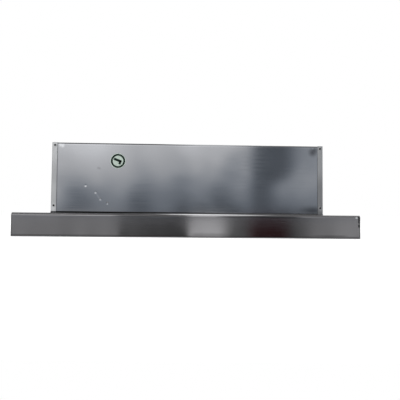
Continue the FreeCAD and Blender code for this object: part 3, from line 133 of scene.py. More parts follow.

# Where the fascia's tones, painted shade and painted highlight fade in, in metres from its ends, its lower
# edge or its upper edge
CAP_JOINT = (0.0009, 0.0003)
FASCIA_FOOT = (0.0050, 0.0018)
DARK_BAND_TOP = (0.0075, 0.0040)
LOW_SHADE_TOP = (0.0110, 0.0040)
BEND_EDGE_SHADE = (0.0010, 0.0003)
HIGHLIGHT_EDGE = (0.0016, 0.0010)
BEND_SHADE_LINE = ((0.0058, 0.0050), (0.0026, 0.0018))

# Along the fascia in metres from its middle: where a tone, painted shade or painted highlight fades in,
# and where it fades out
DARK_BAND_SPAN = ((0.195, 0.245), (0.265, 0.284))
LOW_SHADE_SPAN = ((-0.005, 0.015), (0.050, 0.090))
HIGHLIGHT_SPAN = ((-0.070, -0.020), (0.090, 0.160))
SHADE_LINE_SPAN = ((-0.135, -0.110), (0.180, 0.205))
SHADE_LINE_BREAK = ((-0.010, 0.010), (0.040, 0.070))

# Painted shade in the gap and a painted glint at the fascia's right end: distances from the end, heights and
# a radius
END_SHADE_INSET = 0.0007
END_SHADE_HEIGHTS = (0.022, 0.024, 0.029, 0.032, 0.035, 0.038)
END_GLINT_INSET = 0.0055
END_GLINT_HEIGHT = 0.0372
END_SPOT_RADIUS = 0.003

# Other materials: where the foam turns from painted shade to painted light, and waves of the lens and the
# mesh in radians a metre
FOAM_LIGHT_SPAN = (-0.16, 0.02)
LENS_WAVES = 2600.0
MESH_WAVES = (620.0, 1150.0)

# The camera, as the photograph was taken
CAMERA_PLACE = Vector((0.0003, -0.785, 0.0394))
CAMERA_YAW = math.radians(1.77)
CAMERA_PITCH = math.radians(2.33)
CAMERA_ROLL = math.radians(0.57)
FOCAL_SHARE = 370 / 400
SENSOR_WIDTH = 36.0

# The plain studio
FLOOR_SIZE = 30.0
FLOOR_ALBEDO = 0.60
FLOOR_GLOW = 0.68
WORLD_FILL = 0.55
ROOM_FRONT = -1.5
ROOM_BACK = 1.8
ROOM_HALF_WIDTH = 3.0
ROOM_HEIGHT = 1.4
ROOM_LIFT = 0.0002
LAMP_AIM = Vector((0, 0, 0.08))

# The lamps: name, place, width of the disc and watts
LAMPS = (("key_lamp", (-1.3, -1.6, 1.9), 1.6, 34.0), ("top_lamp", (0.9, 0.7, 2.4), 1.8, 22.0))

# The room's pattern. Places are (along, squeezed height) in metres, and tones are shares of white
ROOM_PATTERN_REACH = 0.635
ROOM_SQUEEZE = 0.35
ROOM_SIDE_TONE = 0.72

# Furniture against the wall: radius, tone at its middle and places
FURNITURE = (
    (0.042, 0.58, ((-0.188, 0.030), (-0.195, 0.055), (-0.083, 0.034), (-0.083, 0.056), (0.062, 0.040),
                   (-0.203, 0.016), (0.028, 0.012))),
    (0.036, 0.74, ((-0.014, 0.050), (-0.014, 0.080), (0.058, 0.065), (0.070, 0.095), (0.075, 0.120))),
    (0.036, 0.42, tuple((along, 0.014) for along in (-0.01, 0.02, 0.05, 0.08, 0.14, 0.17, 0.20))),
)
WINDOWS = ((0.012, 0.150), (-0.190, 0.155), (-0.150, 0.155), (-0.235, 0.045))
WINDOW_RADIUS = 0.045
WINDOW_LIGHT = 0.20
RIGHT_WALL_TONE = 0.50
DOORWAY_TONE = 0.15

# Fades of the room's pattern: where each starts and ends, and its two values if they aren't 0 and 1
WALL_RISE = (0.02, 0.50, 0.34, 1.0)
WALL_DIMMING = (-0.120, -0.080, 1.0, 0.85)
RIGHT_WALL = (0.10, 0.16)
DOORWAY_LEFT = (0.097, 0.124)
DOORWAY_EDGE = (0.20, 0.30, 0.152, 0.184)
DOORWAY_RIGHT = (-0.016, 0.016, 1.0, 0.0)
OVERHEAD_START = (-0.45, -0.15)
BEHIND_START = (0.4, 0.9)
REAR_WALL_START = (1.0, ROOM_BACK)
REAR_WALL_TONES = (0.1, ROOM_HEIGHT, 0.80, 0.55)
CEILING_BOTTOM = (0.60, 0.80)
CEILING_FRONT = (-1.2, -0.9)
WALL_BOTTOM = (0.034, 0.042)
SIDE_START = (0.295, 0.37)
MOTTLE = (0.3, 0.7, 0.88, 1.12)
MOTTLE_SCALE = 26.0
FLAT_ANGLE = (0.74, 0.90, 1.0, 0.0)
FLOOR_LEVEL = (0.004, 0.002)
COOL_TONES = (0.8, 0.15)
COOL_TOP = (0.45, 0.55, 1.0, 0.0)

# Smooth steps of a tone along the hood: where a step starts, where it ends and its change
CEILING_TONE = 0.22
CEILING_STEPS = ((-0.015, 0.012, 0.78), (0.05, 0.12, -0.72))
OVERHEAD_TONE = 0.30
OVERHEAD_STEPS = ((-0.055, -0.015, 1.30), (0.08, 0.15, -1.20))
FLOOR_TONE = 0.34
FLOOR_STEPS = ((-0.124, -0.112, -0.215), (-0.110, -0.010, -0.05), (-0.006, 0.008, 0.71),
               (0.044, 0.080, -0.625), (0.085, 0.125, -0.132), (0.155, 0.250, 0.34), (0.245, 0.258, 0.07))
CEILING_BEHIND_TONE = 0.46
FLOOR_BEHIND_TONE = 0.5
FLOOR_FROM_ABOVE_TONE = 0.72
FLOOR_FROM_ABOVE_SHARE = 0.8
WARM_SPAN = ((0.095, 0.125), (0.155, 0.185))
ROOM_COLOUR = (0.98, 0.99, 1.0, 1.0)
COOL_COLOUR = (0.765, 0.865, 1.0, 1.0)
WARM_COLOUR = (1.0, 0.22, 0.25, 1.0)


class Surface:
    """A node material that is being built around one Principled shader."""

    def __init__(self, name, sockets):
        self.material = bpy.data.materials.new(name)
        self.material.use_nodes = True
        self.tree = self.material.node_tree
        self.shader = self.tree.nodes["Principled BSDF"]
        self.colour = None
        self.normal = None
        for socket, value in sockets.items():
            self.shader.inputs[socket].default_value = value
        self.points = self.add("ShaderNodeTexCoord").outputs["Object"]

    def add(self, kind, inputs=None, **settings):
        """Add a node. An input takes a value or another node's output."""
        node = self.tree.nodes.new(kind)
        for name, value in settings.items():
            setattr(node, name, value)
        for key, value in (inputs or {}).items():
            if isinstance(value, bpy.types.NodeSocket):
                self.tree.links.new(value, node.inputs[key])
            else:
                node.inputs[key].default_value = value
        return node

    def math(self, operation, first, second=0.0):
        return self.add("ShaderNodeMath", {0: first, 1: second}, operation=operation).outputs[0]

    def chain(self, operation, values):
        """Join several values by an operation, one after the other."""
        total, *others = values
        for value in others:
            total = self.math(operation, total, value)
        return total

    def times(self, *values):
        return self.chain("MULTIPLY", values)

    def highest(self, *values):
        return self.chain("MAXIMUM", values)

    def rest(self, share):
        """What is left of 1 after a share."""
        return self.math("SUBTRACT", 1.0, share)

    def stretched(self, x, y, z):
        """The surface's own coordinates, scaled along each axis."""
        return self.add("ShaderNodeMapping", {"Vector": self.points, "Scale": (x, y, z)}).outputs[0]

    def axis(self, name):
        return self.add("ShaderNodeSeparateXYZ", {0: self.points}).outputs[name]

    def noise(self, scale, detail=3.0, points=None):
        inputs = {"Vector": points or self.points, "Scale": scale, "Detail": detail}
        return self.add("ShaderNodeTexNoise", inputs).outputs["Fac"]

    def cells(self, scale, feature="F1"):
        return self.add("ShaderNodeTexVoronoi", {"Vector": self.points, "Scale": scale}, feature=feature)

    def cell_tone(self, scale):
        """A value between 0 and 1 that is even within each cell."""
        colour = self.cells(scale).outputs["Color"]
        return self.add("ShaderNodeSeparateColor", {0: colour}).outputs[0]

    def fade(self, value, start, end, low=0.0, high=1.0):
        """Map a value smoothly from start..end to low..high."""
        inputs = {"Value": value, "From Min": start, "From Max": end, "To Min": low, "To Max": high}
        return self.add("ShaderNodeMapRange", inputs, interpolation_type="SMOOTHSTEP").outputs[0]

    def band(self, value, rise, fall):
        """1 between two stretches, fading in over the first and out over the second."""
        return self.times(self.fade(value, *rise), self.fade(value, *fall, 1.0, 0.0))

    def steps(self, value, start, changes):
        """A start value plus smooth steps of (start, end, change)."""
        total = start
        for begin, end, change in changes:
            total = self.math("ADD", total, self.fade(value, begin, end, 0.0, change))
        return total

    def blend(self, factor, first, second):
        """Mix two plain values."""
        return self.add("ShaderNodeMix", {0: factor, 2: first, 3: second}).outputs[0]

    def mix(self, factor, first, second):
        """Mix two colours."""
        inputs = {0: factor, 6: first, 7: second}
        return self.add("ShaderNodeMix", inputs, data_type="RGBA").outputs[2]

    def tint(self, factor, colour, spread):
        """A colour that runs from darker to lighter with a factor."""
        return self.mix(factor, shade(colour, 1 - spread), shade(colour, 1 + spread))

    def set_colour(self, value):
        self.colour = value
        self.tree.links.new(value, self.shader.inputs["Base Color"])

    def set_roughness(self, factor, low, high):
        value = self.fade(factor, 0.25, 0.75, low, high)
        self.tree.links.new(value, self.shader.inputs["Roughness"])

    def set_bump(self, height, depth):
        """Raise the surface by a height between 0 and 1 times a depth in metres."""
        inputs = {"Height": height, "Distance": depth, "Strength": 1.0}
        if self.normal:
            inputs["Normal"] = self.normal
        self.normal = self.add("ShaderNodeBump", inputs).outputs[0]
        self.tree.links.new(self.normal, self.shader.inputs["Normal"])

    def spots(self, places, radius, points=None):
        """How near a point is to the nearest of several places: 1 on it, 0 past the radius."""
        shares = []
        for place in places:
            inputs = {0: points or self.points, 1: place}
            gap = self.add("ShaderNodeVectorMath", inputs, operation="DISTANCE").outputs["Value"]
            shares.append(self.fade(gap, 0.0, radius, 1.0, 0.0))
        return self.highest(*shares)

    def marks(self, places, y, radius, points=None):
        """Spots at places (x, z) in the plane at y."""
        return self.spots([(x, y, z) for x, z in places], radius, points)

    def strongest(self, *shares):
        """The highest of several masks, each given with the share it counts for."""
        return self.highest(*[self.times(mask, share) for mask, share in shares])


def shade(colour, factor):
    return (*[min(part * factor, 1.0) for part in colour], 1.0)


def above(edge, stretch):
    """A stretch that is given as distances up from an edge, or back from the front."""
    return [edge + part for part in stretch]


def below(edge, stretch):
    """A stretch that is given as distances down or in from an edge."""
    return [edge - part for part in stretch]


# Materials. The tables hold the plain ones by the name of their material slot

# Sheet metal: colour, roughness, spread of the colour, and the streaks' scale along X, Y and Z
SHEETS = {
    "body_steel": ((0.50, 0.51, 0.53), 0.26, 0.05, (6, 1500, 1500)),
    "filter_aluminium": ((0.72, 0.72, 0.73), 0.32, 0.06, (5, 500, 500)),
}

# Zinc coats: colour, roughness and the crystals' scale
ZINC_COATS = {
    "frame_steel": ((0.55, 0.55, 0.56), 0.38, 160.0),
    "rail_zinc": ((0.62, 0.62, 0.63), 0.28, 420.0),
    "motor_steel": ((0.55, 0.55, 0.55), 0.34, 220.0),
}

# Small turned metal: colour and roughness
TURNED_METALS = {
    "screw_steel": ((0.60, 0.60, 0.60), 0.26),
    "bezel_chrome": ((0.75, 0.75, 0.75), 0.10),
}

# Plastic and rubber: colour, roughness, the grain's scale and depth, and spread of the colour
MOULDINGS = {
    "cap_plastic": ((0.17, 0.17, 0.175), 0.42, 1500.0, 0.02 * MM, 0.10),
    "dark_plastic": ((0.030, 0.030, 0.031), 0.45, 1200.0, 0.03 * MM, 0.10),
    "control_plastic": ((0.050, 0.050, 0.052), 0.34, 1600.0, 0.015 * MM, 0.10),
    "volute_plastic": ((0.10, 0.10, 0.11), 0.40, 700.0, 0.04 * MM, 0.10),
    "collar_plastic": ((0.040, 0.040, 0.042), 0.36, 900.0, 0.03 * MM, 0.10),
    "impeller_plastic": ((0.75, 0.75, 0.72), 0.38, 800.0, 0.02 * MM, 0.05),
    "capacitor_case": ((0.80, 0.80, 0.78), 0.24, 900.0, 0.01 * MM, 0.04),
    "bump_rubber": ((0.050, 0.050, 0.050), 0.75, 1400.0, 0.05 * MM, 0.10),
}


def sheet_steel(name, colour, roughness, spread, grain=(6, 1500, 1500), depth=0.0015 * MM):
    """Rolled or brushed sheet: fine streaks along one axis over soft clouds."""
    surface = Surface(name, {"Metallic": 1.0})
    streaks = surface.noise(1.0, 2.0, surface.stretched(*grain))
    clouds = surface.noise(9.0)
    tone = surface.math("ADD", surface.times(streaks, 0.5), surface.times(clouds, 0.5))
    surface.set_colour(surface.tint(tone, colour, spread))
    surface.set_roughness(streaks, roughness - 0.04, roughness + 0.04)
    surface.set_bump(streaks, depth)
    return surface


def front_panel_steel():
    """The front sheet: a little wavy, with knocks, painted glints on them and along an arc between them,
    painted glints in the upper corners, a scuff, dark patches in the right corners, a painted highlight along
    the top, and painted shade along the top edge, in the seams and at the foot."""
    surface = sheet_steel("front_panel_steel", (0.50, 0.505, 0.525), 0.11, 0.03)
    low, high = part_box("front_panel")
    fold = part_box("right_cheek")[0].x
    along = surface.axis("X")
    height = surface.axis("Z")
    surface.set_bump(surface.noise(7.0, 1.0, surface.stretched(1, 1, 1.4)), PANEL_WAVE_DEPTH)
    surface.set_bump(surface.marks(KNOCKS, low.y, KNOCK_RADIUS), -KNOCK_DEPTH)

    # Painted highlights: glints on the knocks, along an arc between them and in the upper corners
    shine_places = [(x, z - KNOCK_SHINE_DROP) for x, z in KNOCKS]
    bright = surface.strongest((surface.marks(LEFT_GLINTS, low.y, LEFT_GLINT_RADIUS), 0.65),
                               (surface.marks(RIGHT_GLINT, low.y, RIGHT_GLINT_RADIUS), 0.65),
                               (surface.marks(shine_places, low.y, KNOCK_SHINE_RADIUS), 0.65),
                               (surface.marks(GLINT_ARC, low.y, GLINT_ARC_RADIUS), 0.3))
    colour = surface.mix(bright, surface.colour, PAINTED_HIGHLIGHT)
    # A painted highlight along the top of the sheet
    top_highlight = surface.times(surface.fade(height, *below(high.z, TOP_HIGHLIGHT)), 0.16)
    colour = surface.mix(top_highlight, colour, PAINTED_HIGHLIGHT)

    # Painted shade along the top edge
    edge = surface.fade(height, *below(high.z, TOP_EDGE_SHADE))
    # Painted shadow in the seams where the flanges meet the sheet
    seam_shade = surface.fade(surface.math("ABSOLUTE", along), *below(fold, SEAM_SHADE))
    # Darker patches in the right corners: a round one at the top and a squeezed one at the foot
    dark_patch = surface.marks(DARK_PATCHES, low.y, DARK_PATCHES_RADIUS)
    wedge_places = [(x * WEDGE_SQUEEZE, z) for x, z in WEDGE]
    wedge = surface.marks(wedge_places, low.y, WEDGE_RADIUS, surface.stretched(WEDGE_SQUEEZE, 1, 1))
    # Painted shadow at the foot, in the gap above the fascia: strong at the left, weaker to the right
    foot = surface.times(surface.fade(height, *above(low.z, PANEL_FOOT_SHADE)),
                         surface.fade(along, *PANEL_FOOT_SHADE_SPAN))
    scuff = surface.marks(SCUFF, low.y, SCUFF_RADIUS)
    # The painted shade, the dark patches and the scuff all darken the sheet
    dark = surface.strongest((edge, 0.38), (seam_shade, 0.30), (dark_patch, 0.62), (wedge, 0.62), (foot, 1.0),
                             (scuff, 0.2))
    surface.set_colour(surface.mix(dark, colour, SHADE_AND_MARKS))
    return surface.material


def cheek_steel():
    """The side sheets: duller than the front, with painted shade along their outer bends and their feet.
    Both front flanges have a painted highlight at the foot. Painted shade darkens the left one in the middle,
    and the right one towards its foot."""
    surface = sheet_steel("cheek_steel", (0.59, 0.595, 0.60), 0.40, 0.08, (1500, 1500, 6))
    low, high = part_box("right_cheek")
    side = surface.axis("X")
    height = surface.axis("Z")
    middle = low.x + FLANGE_MIDDLE
    # Painted highlights: a glare at the foot of the left flange and a crescent by the lower right rivet
    bright = surface.strongest((surface.marks(((-middle, GLARE_HEIGHT),), low.y, GLARE_RADIUS), 0.75),
                               (surface.marks(((middle, HIGHLIGHT_CRESCENT_HEIGHT),), low.y, HIGHLIGHT_CRESCENT_RADIUS), 1.0))
    colour = surface.mix(bright, surface.colour, FLANGE_HIGHLIGHT)

    # Painted shade along the outer bends, and painted shadow at the feet
    bend = surface.fade(surface.math("ABSOLUTE", side), *below(high.x, CHEEK_BEND_SHADE))
    foot = surface.times(surface.fade(height, *above(low.z, CHEEK_FOOT_SHADE)),
                         surface.fade(side, *FOOT_SHADE_SIDES))
    # Painted shade on the front flanges: the right one towards its foot, the left one in the middle
    right = surface.times(surface.fade(height, *RIGHT_FLANGE_SHADE), surface.fade(side, *SIDE_SPLIT))
    left = surface.times(surface.band(height, *LEFT_FLANGE_SHADE_SPAN), 0.16,
                         surface.fade(side, *[-part for part in SIDE_SPLIT]))
    flange = surface.times(surface.highest(left, right),
                           surface.fade(surface.axis("Y"), *above(low.y, FLANGE_DEPTH)))
    dark = surface.strongest((bend, 0.45), (foot, 1.0), (flange, 1.0))
    surface.set_colour(surface.mix(dark, colour, SHADE_AND_MARKS))
    return surface.material


def fascia_steel():
    """Finely brushed stainless steel, with dark joints where the end caps meet it, a dark foot, a dark band
    low at the right, a band of painted shade low in the middle, painted shade in the gap and a painted glint
    at the right end, painted shade along the top, and a painted highlight and a line of painted shade on the
    upper bend."""
    surface = sheet_steel("fascia_steel", (0.42, 0.41, 0.42), 0.12, 0.05, (3, 1500, 1500), 0.003 * MM)
    low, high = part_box("fascia")
    along = surface.axis("X")
    height = surface.axis("Z")
    joint = surface.fade(surface.math("ABSOLUTE", along), *below(high.x, CAP_JOINT))
    foot = surface.fade(height, *above(low.z, FASCIA_FOOT))
    # A dark band low at the right
    dark_band = surface.times(surface.fade(height, *above(low.z, DARK_BAND_TOP)), surface.band(along, *DARK_BAND_SPAN))
    # Painted shade in a band low in the middle, over the bright floor it mirrors
    dull = surface.times(surface.fade(height, *above(low.z, LOW_SHADE_TOP)), surface.band(along, *LOW_SHADE_SPAN))
    middle = surface.band(along, *HIGHLIGHT_SPAN)
    # Painted shade along the top of the upper bend, outside its middle
    bend = surface.times(surface.fade(height, *below(high.z, BEND_EDGE_SHADE)), surface.rest(middle))
    # A line of painted shade lower on the upper bend, with a break in it
    line = surface.times(surface.band(height, *[below(high.z, stretch) for stretch in BEND_SHADE_LINE]),
                         surface.band(along, *SHADE_LINE_SPAN),
                         surface.rest(surface.band(along, *SHADE_LINE_BREAK)))
    # Painted shade in the gap to the right end cap
    end_shade_places = [(high.x - END_SHADE_INSET, z) for z in END_SHADE_HEIGHTS]
    marks = surface.fade(surface.marks(end_shade_places, low.y, END_SPOT_RADIUS), 0.0, 0.5)
    # The painted shade, the dark joints, the dark foot and the dark band all darken the steel
    dark = surface.strongest((joint, 0.6), (foot, 0.6), (dark_band, 0.40), (dull, 0.34), (bend, 0.5),
                             (line, 0.5), (marks, 0.95))

    # Painted highlights: a glint at the right end, and a bright line along the top of the bend in its middle
    end_glint = ((high.x - END_GLINT_INSET, END_GLINT_HEIGHT),)
    glint = surface.fade(surface.marks(end_glint, low.y, END_SPOT_RADIUS), 0.0, 0.6)
    edge_highlight = surface.times(surface.fade(height, *below(high.z, HIGHLIGHT_EDGE)), middle)
    colour = surface.mix(surface.highest(glint, edge_highlight), surface.colour, WHITE)
    surface.set_colour(surface.mix(dark, colour, DEEP_SHADE_AND_MARKS))
    return surface.material


def galvanised(name, colour, roughness, spangle):
    """Zinc-coated steel: dull crystals of slightly different greys."""
    surface = Surface(name, {"Metallic": 1.0})
    clouds = surface.noise(30.0)
    surface.set_colour(surface.tint(surface.cell_tone(spangle), colour, 0.10))
    surface.set_roughness(clouds, roughness - 0.06, roughness + 0.08)
    surface.set_bump(clouds, 0.01 * MM)
    return surface.material


def base_steel():
    """Silver-grey powder coat: fine metal flakes and a slight orange peel."""
    surface = Surface("base_steel", {"Metallic": 0.55})
    surface.set_colour(surface.tint(surface.cell_tone(2600.0), (0.42, 0.42, 0.43), 0.09))
    surface.set_roughness(surface.noise(14.0), 0.38, 0.46)
    surface.set_bump(surface.noise(650.0, 2.0), 0.02 * MM)
    return surface.material


def turned_metal(name, colour, roughness):
    """Small plated fasteners and pins: fine marks and a little dirt."""
    surface = Surface(name, {"Metallic": 1.0})
    marks = surface.noise(900.0, 2.0)
    dirt = surface.noise(160.0, 4.0)
    surface.set_colour(surface.tint(dirt, colour, 0.22))
    surface.set_roughness(dirt, roughness - 0.05, roughness + 0.12)
    surface.set_bump(marks, 0.008 * MM)
    return surface.material


def rivet_places(low, high):
    """The middles of the rivets on one face of the box, as (x, z)."""
    return [(x, z) for x in (low.x + RIVET_RADIUS, high.x - RIVET_RADIUS)
            for z in (low.z + RIVET_RADIUS, high.z - RIVET_RADIUS)]


def rivet_steel():
    """Rivet heads, with painted shade that makes their blind holes black."""
    surface = Surface("rivet_steel", {"Metallic": 1.0})
    dirt = surface.noise(400.0, 4.0)
    low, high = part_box("cheek_rivets")
    middles = [(x, y, z) for y in (low.y, high.y) for x, z in rivet_places(low, high)]
    # Painted shade in the blind holes
    hole = surface.fade(surface.spots(middles, RIVET_SHADE_RADIUS), 0.25, 0.55)
    head = surface.tint(dirt, (0.70, 0.70, 0.71), 0.15)
    surface.set_colour(surface.mix(hole, head, HOLE_SHADE))
    surface.set_roughness(dirt, 0.28, 0.44)
    surface.set_bump(dirt, 0.01 * MM)
    return surface.material


def moulded(name, colour, roughness, grain, depth, spread):
    """Moulded plastic or rubber: an even eroded grain and faint flow marks."""
    surface = Surface(name, {"Metallic": 0.0})
    flow = surface.noise(18.0, 2.0)
    texture = surface.noise(grain, 3.0)
    surface.set_colour(surface.tint(flow, colour, spread))
    surface.set_roughness(texture, roughness - 0.06, roughness + 0.06)
    surface.set_bump(texture, depth)
    return surface.material


def seal_foam():
    """Closed-cell foam, matt and full of pores: painted shade makes it black at the left, and painted light
    makes it grey from the middle on.
    """
    surface = Surface("seal_foam", {"Metallic": 0.0, "Roughness": 0.92, "Specular IOR Level": 0.1})
    pores = surface.cells(900.0, "DISTANCE_TO_EDGE").outputs["Distance"]
    speckle = surface.noise(240.0)
    black = surface.tint(speckle, (0.005, 0.005, 0.005), 0.35)
    lit_grey = surface.tint(speckle, (0.16, 0.16, 0.165), 0.25)
    # Painted shade at the left, fading to painted light grey to the right
    surface.set_colour(surface.mix(surface.fade(surface.axis("X"), *FOAM_LIGHT_SPAN), black, lit_grey))
    surface.set_bump(surface.fade(pores, 0.0, 0.4), 0.2 * MM)
    return surface.material


def reflector():
    """Spun aluminium: rings about the lamp's axis show as faint level streaks."""
    surface = Surface("reflector", {"Metallic": 1.0})
    rings = surface.noise(1.0, 1.0, surface.stretched(20, 20, 2400))
    surface.set_colour(surface.tint(rings, (0.80, 0.80, 0.80), 0.06))
    surface.set_roughness(rings, 0.16, 0.26)
    surface.set_bump(rings, 0.01 * MM)
    return surface.material


def lens_glass():
    """Frosted cover glass with a fine pyramid pattern on it."""
    surface = Surface("lens_glass", {"Transmission Weight": 0.75, "IOR": 1.47})
    grid_x, grid_y = [surface.math("SINE", surface.times(surface.axis(name), LENS_WAVES)) for name in "XY"]
    surface.set_colour(surface.tint(surface.noise(60.0), (0.90, 0.91, 0.90), 0.03))
    surface.set_roughness(surface.noise(900.0), 0.28, 0.40)
    surface.set_bump(surface.times(grid_x, grid_y), 0.06 * MM)
    return surface.material


def bulb_glass():
    """Clear glass with a little haze."""
    surface = Surface("bulb_glass", {"Transmission Weight": 0.9, "IOR": 1.47})
    haze = surface.noise(220.0)
    surface.set_colour(surface.tint(haze, (0.94, 0.93, 0.89), 0.04))
    surface.set_roughness(haze, 0.04, 0.14)
    return surface.material


def mesh_aluminium():
    """Expanded aluminium: bright strands round diamond holes, in layers that cross."""
    surface = Surface("mesh_aluminium", {"Metallic": 1.0})
    x, y = [surface.times(surface.axis(name), waves) for name, waves in zip("XY", MESH_WAVES)]
    rising = surface.math("ABSOLUTE", surface.math("SINE", surface.math("ADD", x, y)))
    falling = surface.math("ABSOLUTE", surface.math("SINE", surface.math("SUBTRACT", x, y)))
    strand = surface.fade(surface.math("MINIMUM", rising, falling), 0.15, 0.55, 1.0, 0.0)
    bright = surface.tint(surface.noise(300.0), (0.66, 0.66, 0.67), 0.12)
    surface.set_colour(surface.mix(strand, MESH_GAP, bright))
    surface.set_roughness(strand, 0.42, 0.26)
    surface.set_bump(strand, 0.7 * MM)
    return surface.material


def sticker_paper():
    """The pale green film of the round sticker."""
    surface = Surface("sticker_paper", {"Metallic": 0.0, "Specular IOR Level": 0.3})
    film = surface.noise(260.0, 4.0)
    surface.set_colour(surface.tint(film, (0.53, 0.63, 0.56), 0.06))
    surface.set_roughness(film, 0.34, 0.46)
    surface.set_bump(film, 0.01 * MM)
    return surface.material


def sticker_ink():
    """Dark green print, a little uneven."""
    surface = Surface("sticker_ink", {"Metallic": 0.0, "Specular IOR Level": 0.15})
    ink = surface.noise(800.0, 4.0)
    surface.set_colour(surface.tint(ink, (0.006, 0.019, 0.013), 0.3))
    surface.set_roughness(ink, 0.38, 0.52)
    surface.set_bump(ink, 0.006 * MM)
    return surface.material


def slot_materials():
    """The material of every slot, by name."""
    materials = {name: sheet_steel(name, *numbers).material for name, numbers in SHEETS.items()}
    for make, table in ((galvanised, ZINC_COATS), (turned_metal, TURNED_METALS), (moulded, MOULDINGS)):
        for name, numbers in table.items():
            materials[name] = make(name, *numbers)
    for make in (fascia_steel, base_steel, rivet_steel, seal_foam, reflector, lens_glass, bulb_glass,
                 mesh_aluminium):
        materials[make.__name__] = make()
    return materials


def paint(item, material):
    item.data.materials.clear()
    item.data.materials.append(material)


def paint_nodes():
    """Give each CAD node the material of its slot, and the front sheets their own."""
    materials = slot_materials()
    for row in frame["record"]["subparts"]:
        paint(NODES[row["node"]], materials[row["material_slot"]])
    paint(NODES["front_panel"], front_panel_steel())
    cheek = cheek_steel()
    paint(NODES["left_cheek"], cheek)
    paint(NODES["right_cheek"], cheek)
    return materials


# Pieces

def new_piece(name, mesh, material, body):
    """Turn a bmesh into an object that rides on a body."""
    data = bpy.data.meshes.new(name)
    mesh.to_mesh(data)
    mesh.free()
    piece = bpy.data.objects.new(name, data)
    bpy.context.scene.collection.objects.link(piece)
    data.materials.append(material)
    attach(piece, body)
    return piece


def add_ring(mesh, radius, height, placement, segments):
    """A circle of vertices about Z, put where the placement says."""
    ring = []
    for step in range(segments):
        angle = 2 * math.pi * step / segments
        point = Vector((radius * math.cos(angle), radius * math.sin(angle), height))
        ring.append(mesh.verts.new(placement @ point))
    return ring


def join_rings(mesh, first, second):
    for step in range(len(first)):
        after = (step + 1) % len(first)
        mesh.faces.new((first[step], first[after], second[after], second[step]))


def add_lathe(mesh, profile, placement, segments=32):
    """Turn a profile of (radius, height) about Z and put it where the placement says."""
    rings = [add_ring(mesh, radius, height, placement, segments) for radius, height in profile]
    for lower, upper in zip(rings, rings[1:]):
        join_rings(mesh, lower, upper)
    mesh.faces.new(list(reversed(rings[0])))
    mesh.faces.new(rings[-1])


def smooth(piece):
    for face in piece.data.polygons:
        face.use_smooth = True
    piece.data.set_sharp_from_angle(angle=SMOOTH_ANGLE)


def add_bar(mesh, start, end, width, low, high):
    """A flat bar between two points of the XY plane, with square ends."""
    along = (Vector(end) - Vector(start)).normalized()
    side = Vector((-along.y, along.x)) * (width / 2)
    corners = [Vector(start) - side, Vector(end) - side, Vector(end) + side, Vector(start) + side]
    bottom = [mesh.verts.new((corner.x, corner.y, low)) for corner in corners]
    top = [mesh.verts.new((corner.x, corner.y, high)) for corner in corners]
    mesh.faces.new(list(reversed(bottom)))
    mesh.faces.new(top)
    join_rings(mesh, bottom, top)


def rivet_profile():
    """From the flange up over the dome and down into the blind hole."""
    reach = RIVET_RADIUS - RIVET_HOLE_RADIUS
    angles = [math.pi / 2 * step / RIVET_DOME_STEPS for step in range(1, RIVET_DOME_STEPS + 1)]
    dome = [(RIVET_HOLE_RADIUS + reach * math.cos(angle), RIVET_HEIGHT * math.sin(angle)) for angle in angles]
    floor = (RIVET_HOLE_RADIUS * RIVET_HOLE_TAPER, RIVET_HEIGHT - RIVET_HOLE_DEPTH)
    return [(RIVET_RADIUS, 0.0), *dome, floor]


def make_rivets(material):
    """Domed blind rivets in the places of the plain ones."""
    low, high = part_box("cheek_rivets")
    mesh = bmesh.new()
    for y, turn in ((low.y + RIVET_HEIGHT, 1), (high.y - RIVET_HEIGHT, -1)):
        for x, z in rivet_places(low, high):
            placement = Matrix.Translation((x, y, z)) @ Matrix.Rotation(math.pi / 2 * turn, 4, "X")
            add_lathe(mesh, rivet_profile(), placement)
    piece = new_piece("domed_rivets", mesh, material, "housing")
    smooth(piece)
    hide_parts("cheek_rivets")


def make_sticker():
    """A round inspection sticker with a plain tick, on the front sheet."""
    x, z = STICKER_PLACE
    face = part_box("front_panel")[0].y
    flat = Matrix.Translation((x, face, z)) @ Matrix.Rotation(math.pi / 2, 4, "X")
    ink = sticker_ink()

    film = bmesh.new()
    add_lathe(film, [(STICKER_RADIUS, 0.0), (STICKER_RADIUS, STICKER_EDGE),
                     (STICKER_RADIUS - STICKER_THICKNESS, STICKER_THICKNESS)], flat, STICKER_SEGMENTS)
    new_piece("sticker_film", film, sticker_paper(), "housing")

    print_ring = bmesh.new()
    outer = STICKER_RADIUS - STICKER_RIM
    rings = [add_ring(print_ring, radius, STICKER_PRINT_TOP, flat, STICKER_SEGMENTS)
             for radius in (outer, outer - STICKER_RING_WIDTH)]
    join_rings(print_ring, *rings)
    new_piece("sticker_ring", print_ring, ink, "housing")

    tick = bmesh.new()
    for start, end in zip(TICK_POINTS, TICK_POINTS[1:]):
        overrun = (Vector(end) - Vector(start)).normalized() * TICK_OVERRUN
        add_bar(tick, Vector(start) - overrun, Vector(end) + overrun, TICK_WIDTH, STICKER_THICKNESS,
                STICKER_PRINT_TOP)
    tick.transform(flat)
    new_piece("sticker_tick", tick, ink, "housing")


def make_screw_recesses(material):
    """Cross recesses on the duct collar's four screws."""
    mesh = bmesh.new()
    low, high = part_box("duct_collar")
    middle = (low + high) / 2
    for quarter in range(4):
        angle = math.pi / 4 + math.pi / 2 * quarter
        centre = Vector((SCREW_CIRCLE * math.cos(angle), middle.y + SCREW_CIRCLE * math.sin(angle)))
        for turn in (RECESS_TURN * quarter, RECESS_TURN * quarter + math.pi / 2):
            arm = Vector((math.cos(turn), math.sin(turn))) * (RECESS_LENGTH / 2)
            add_bar(mesh, centre - arm, centre + arm, RECESS_WIDTH, SCREW_TOP, SCREW_TOP + RECESS_HEIGHT)
    new_piece("screw_recesses", mesh, material, "housing")


# Studio

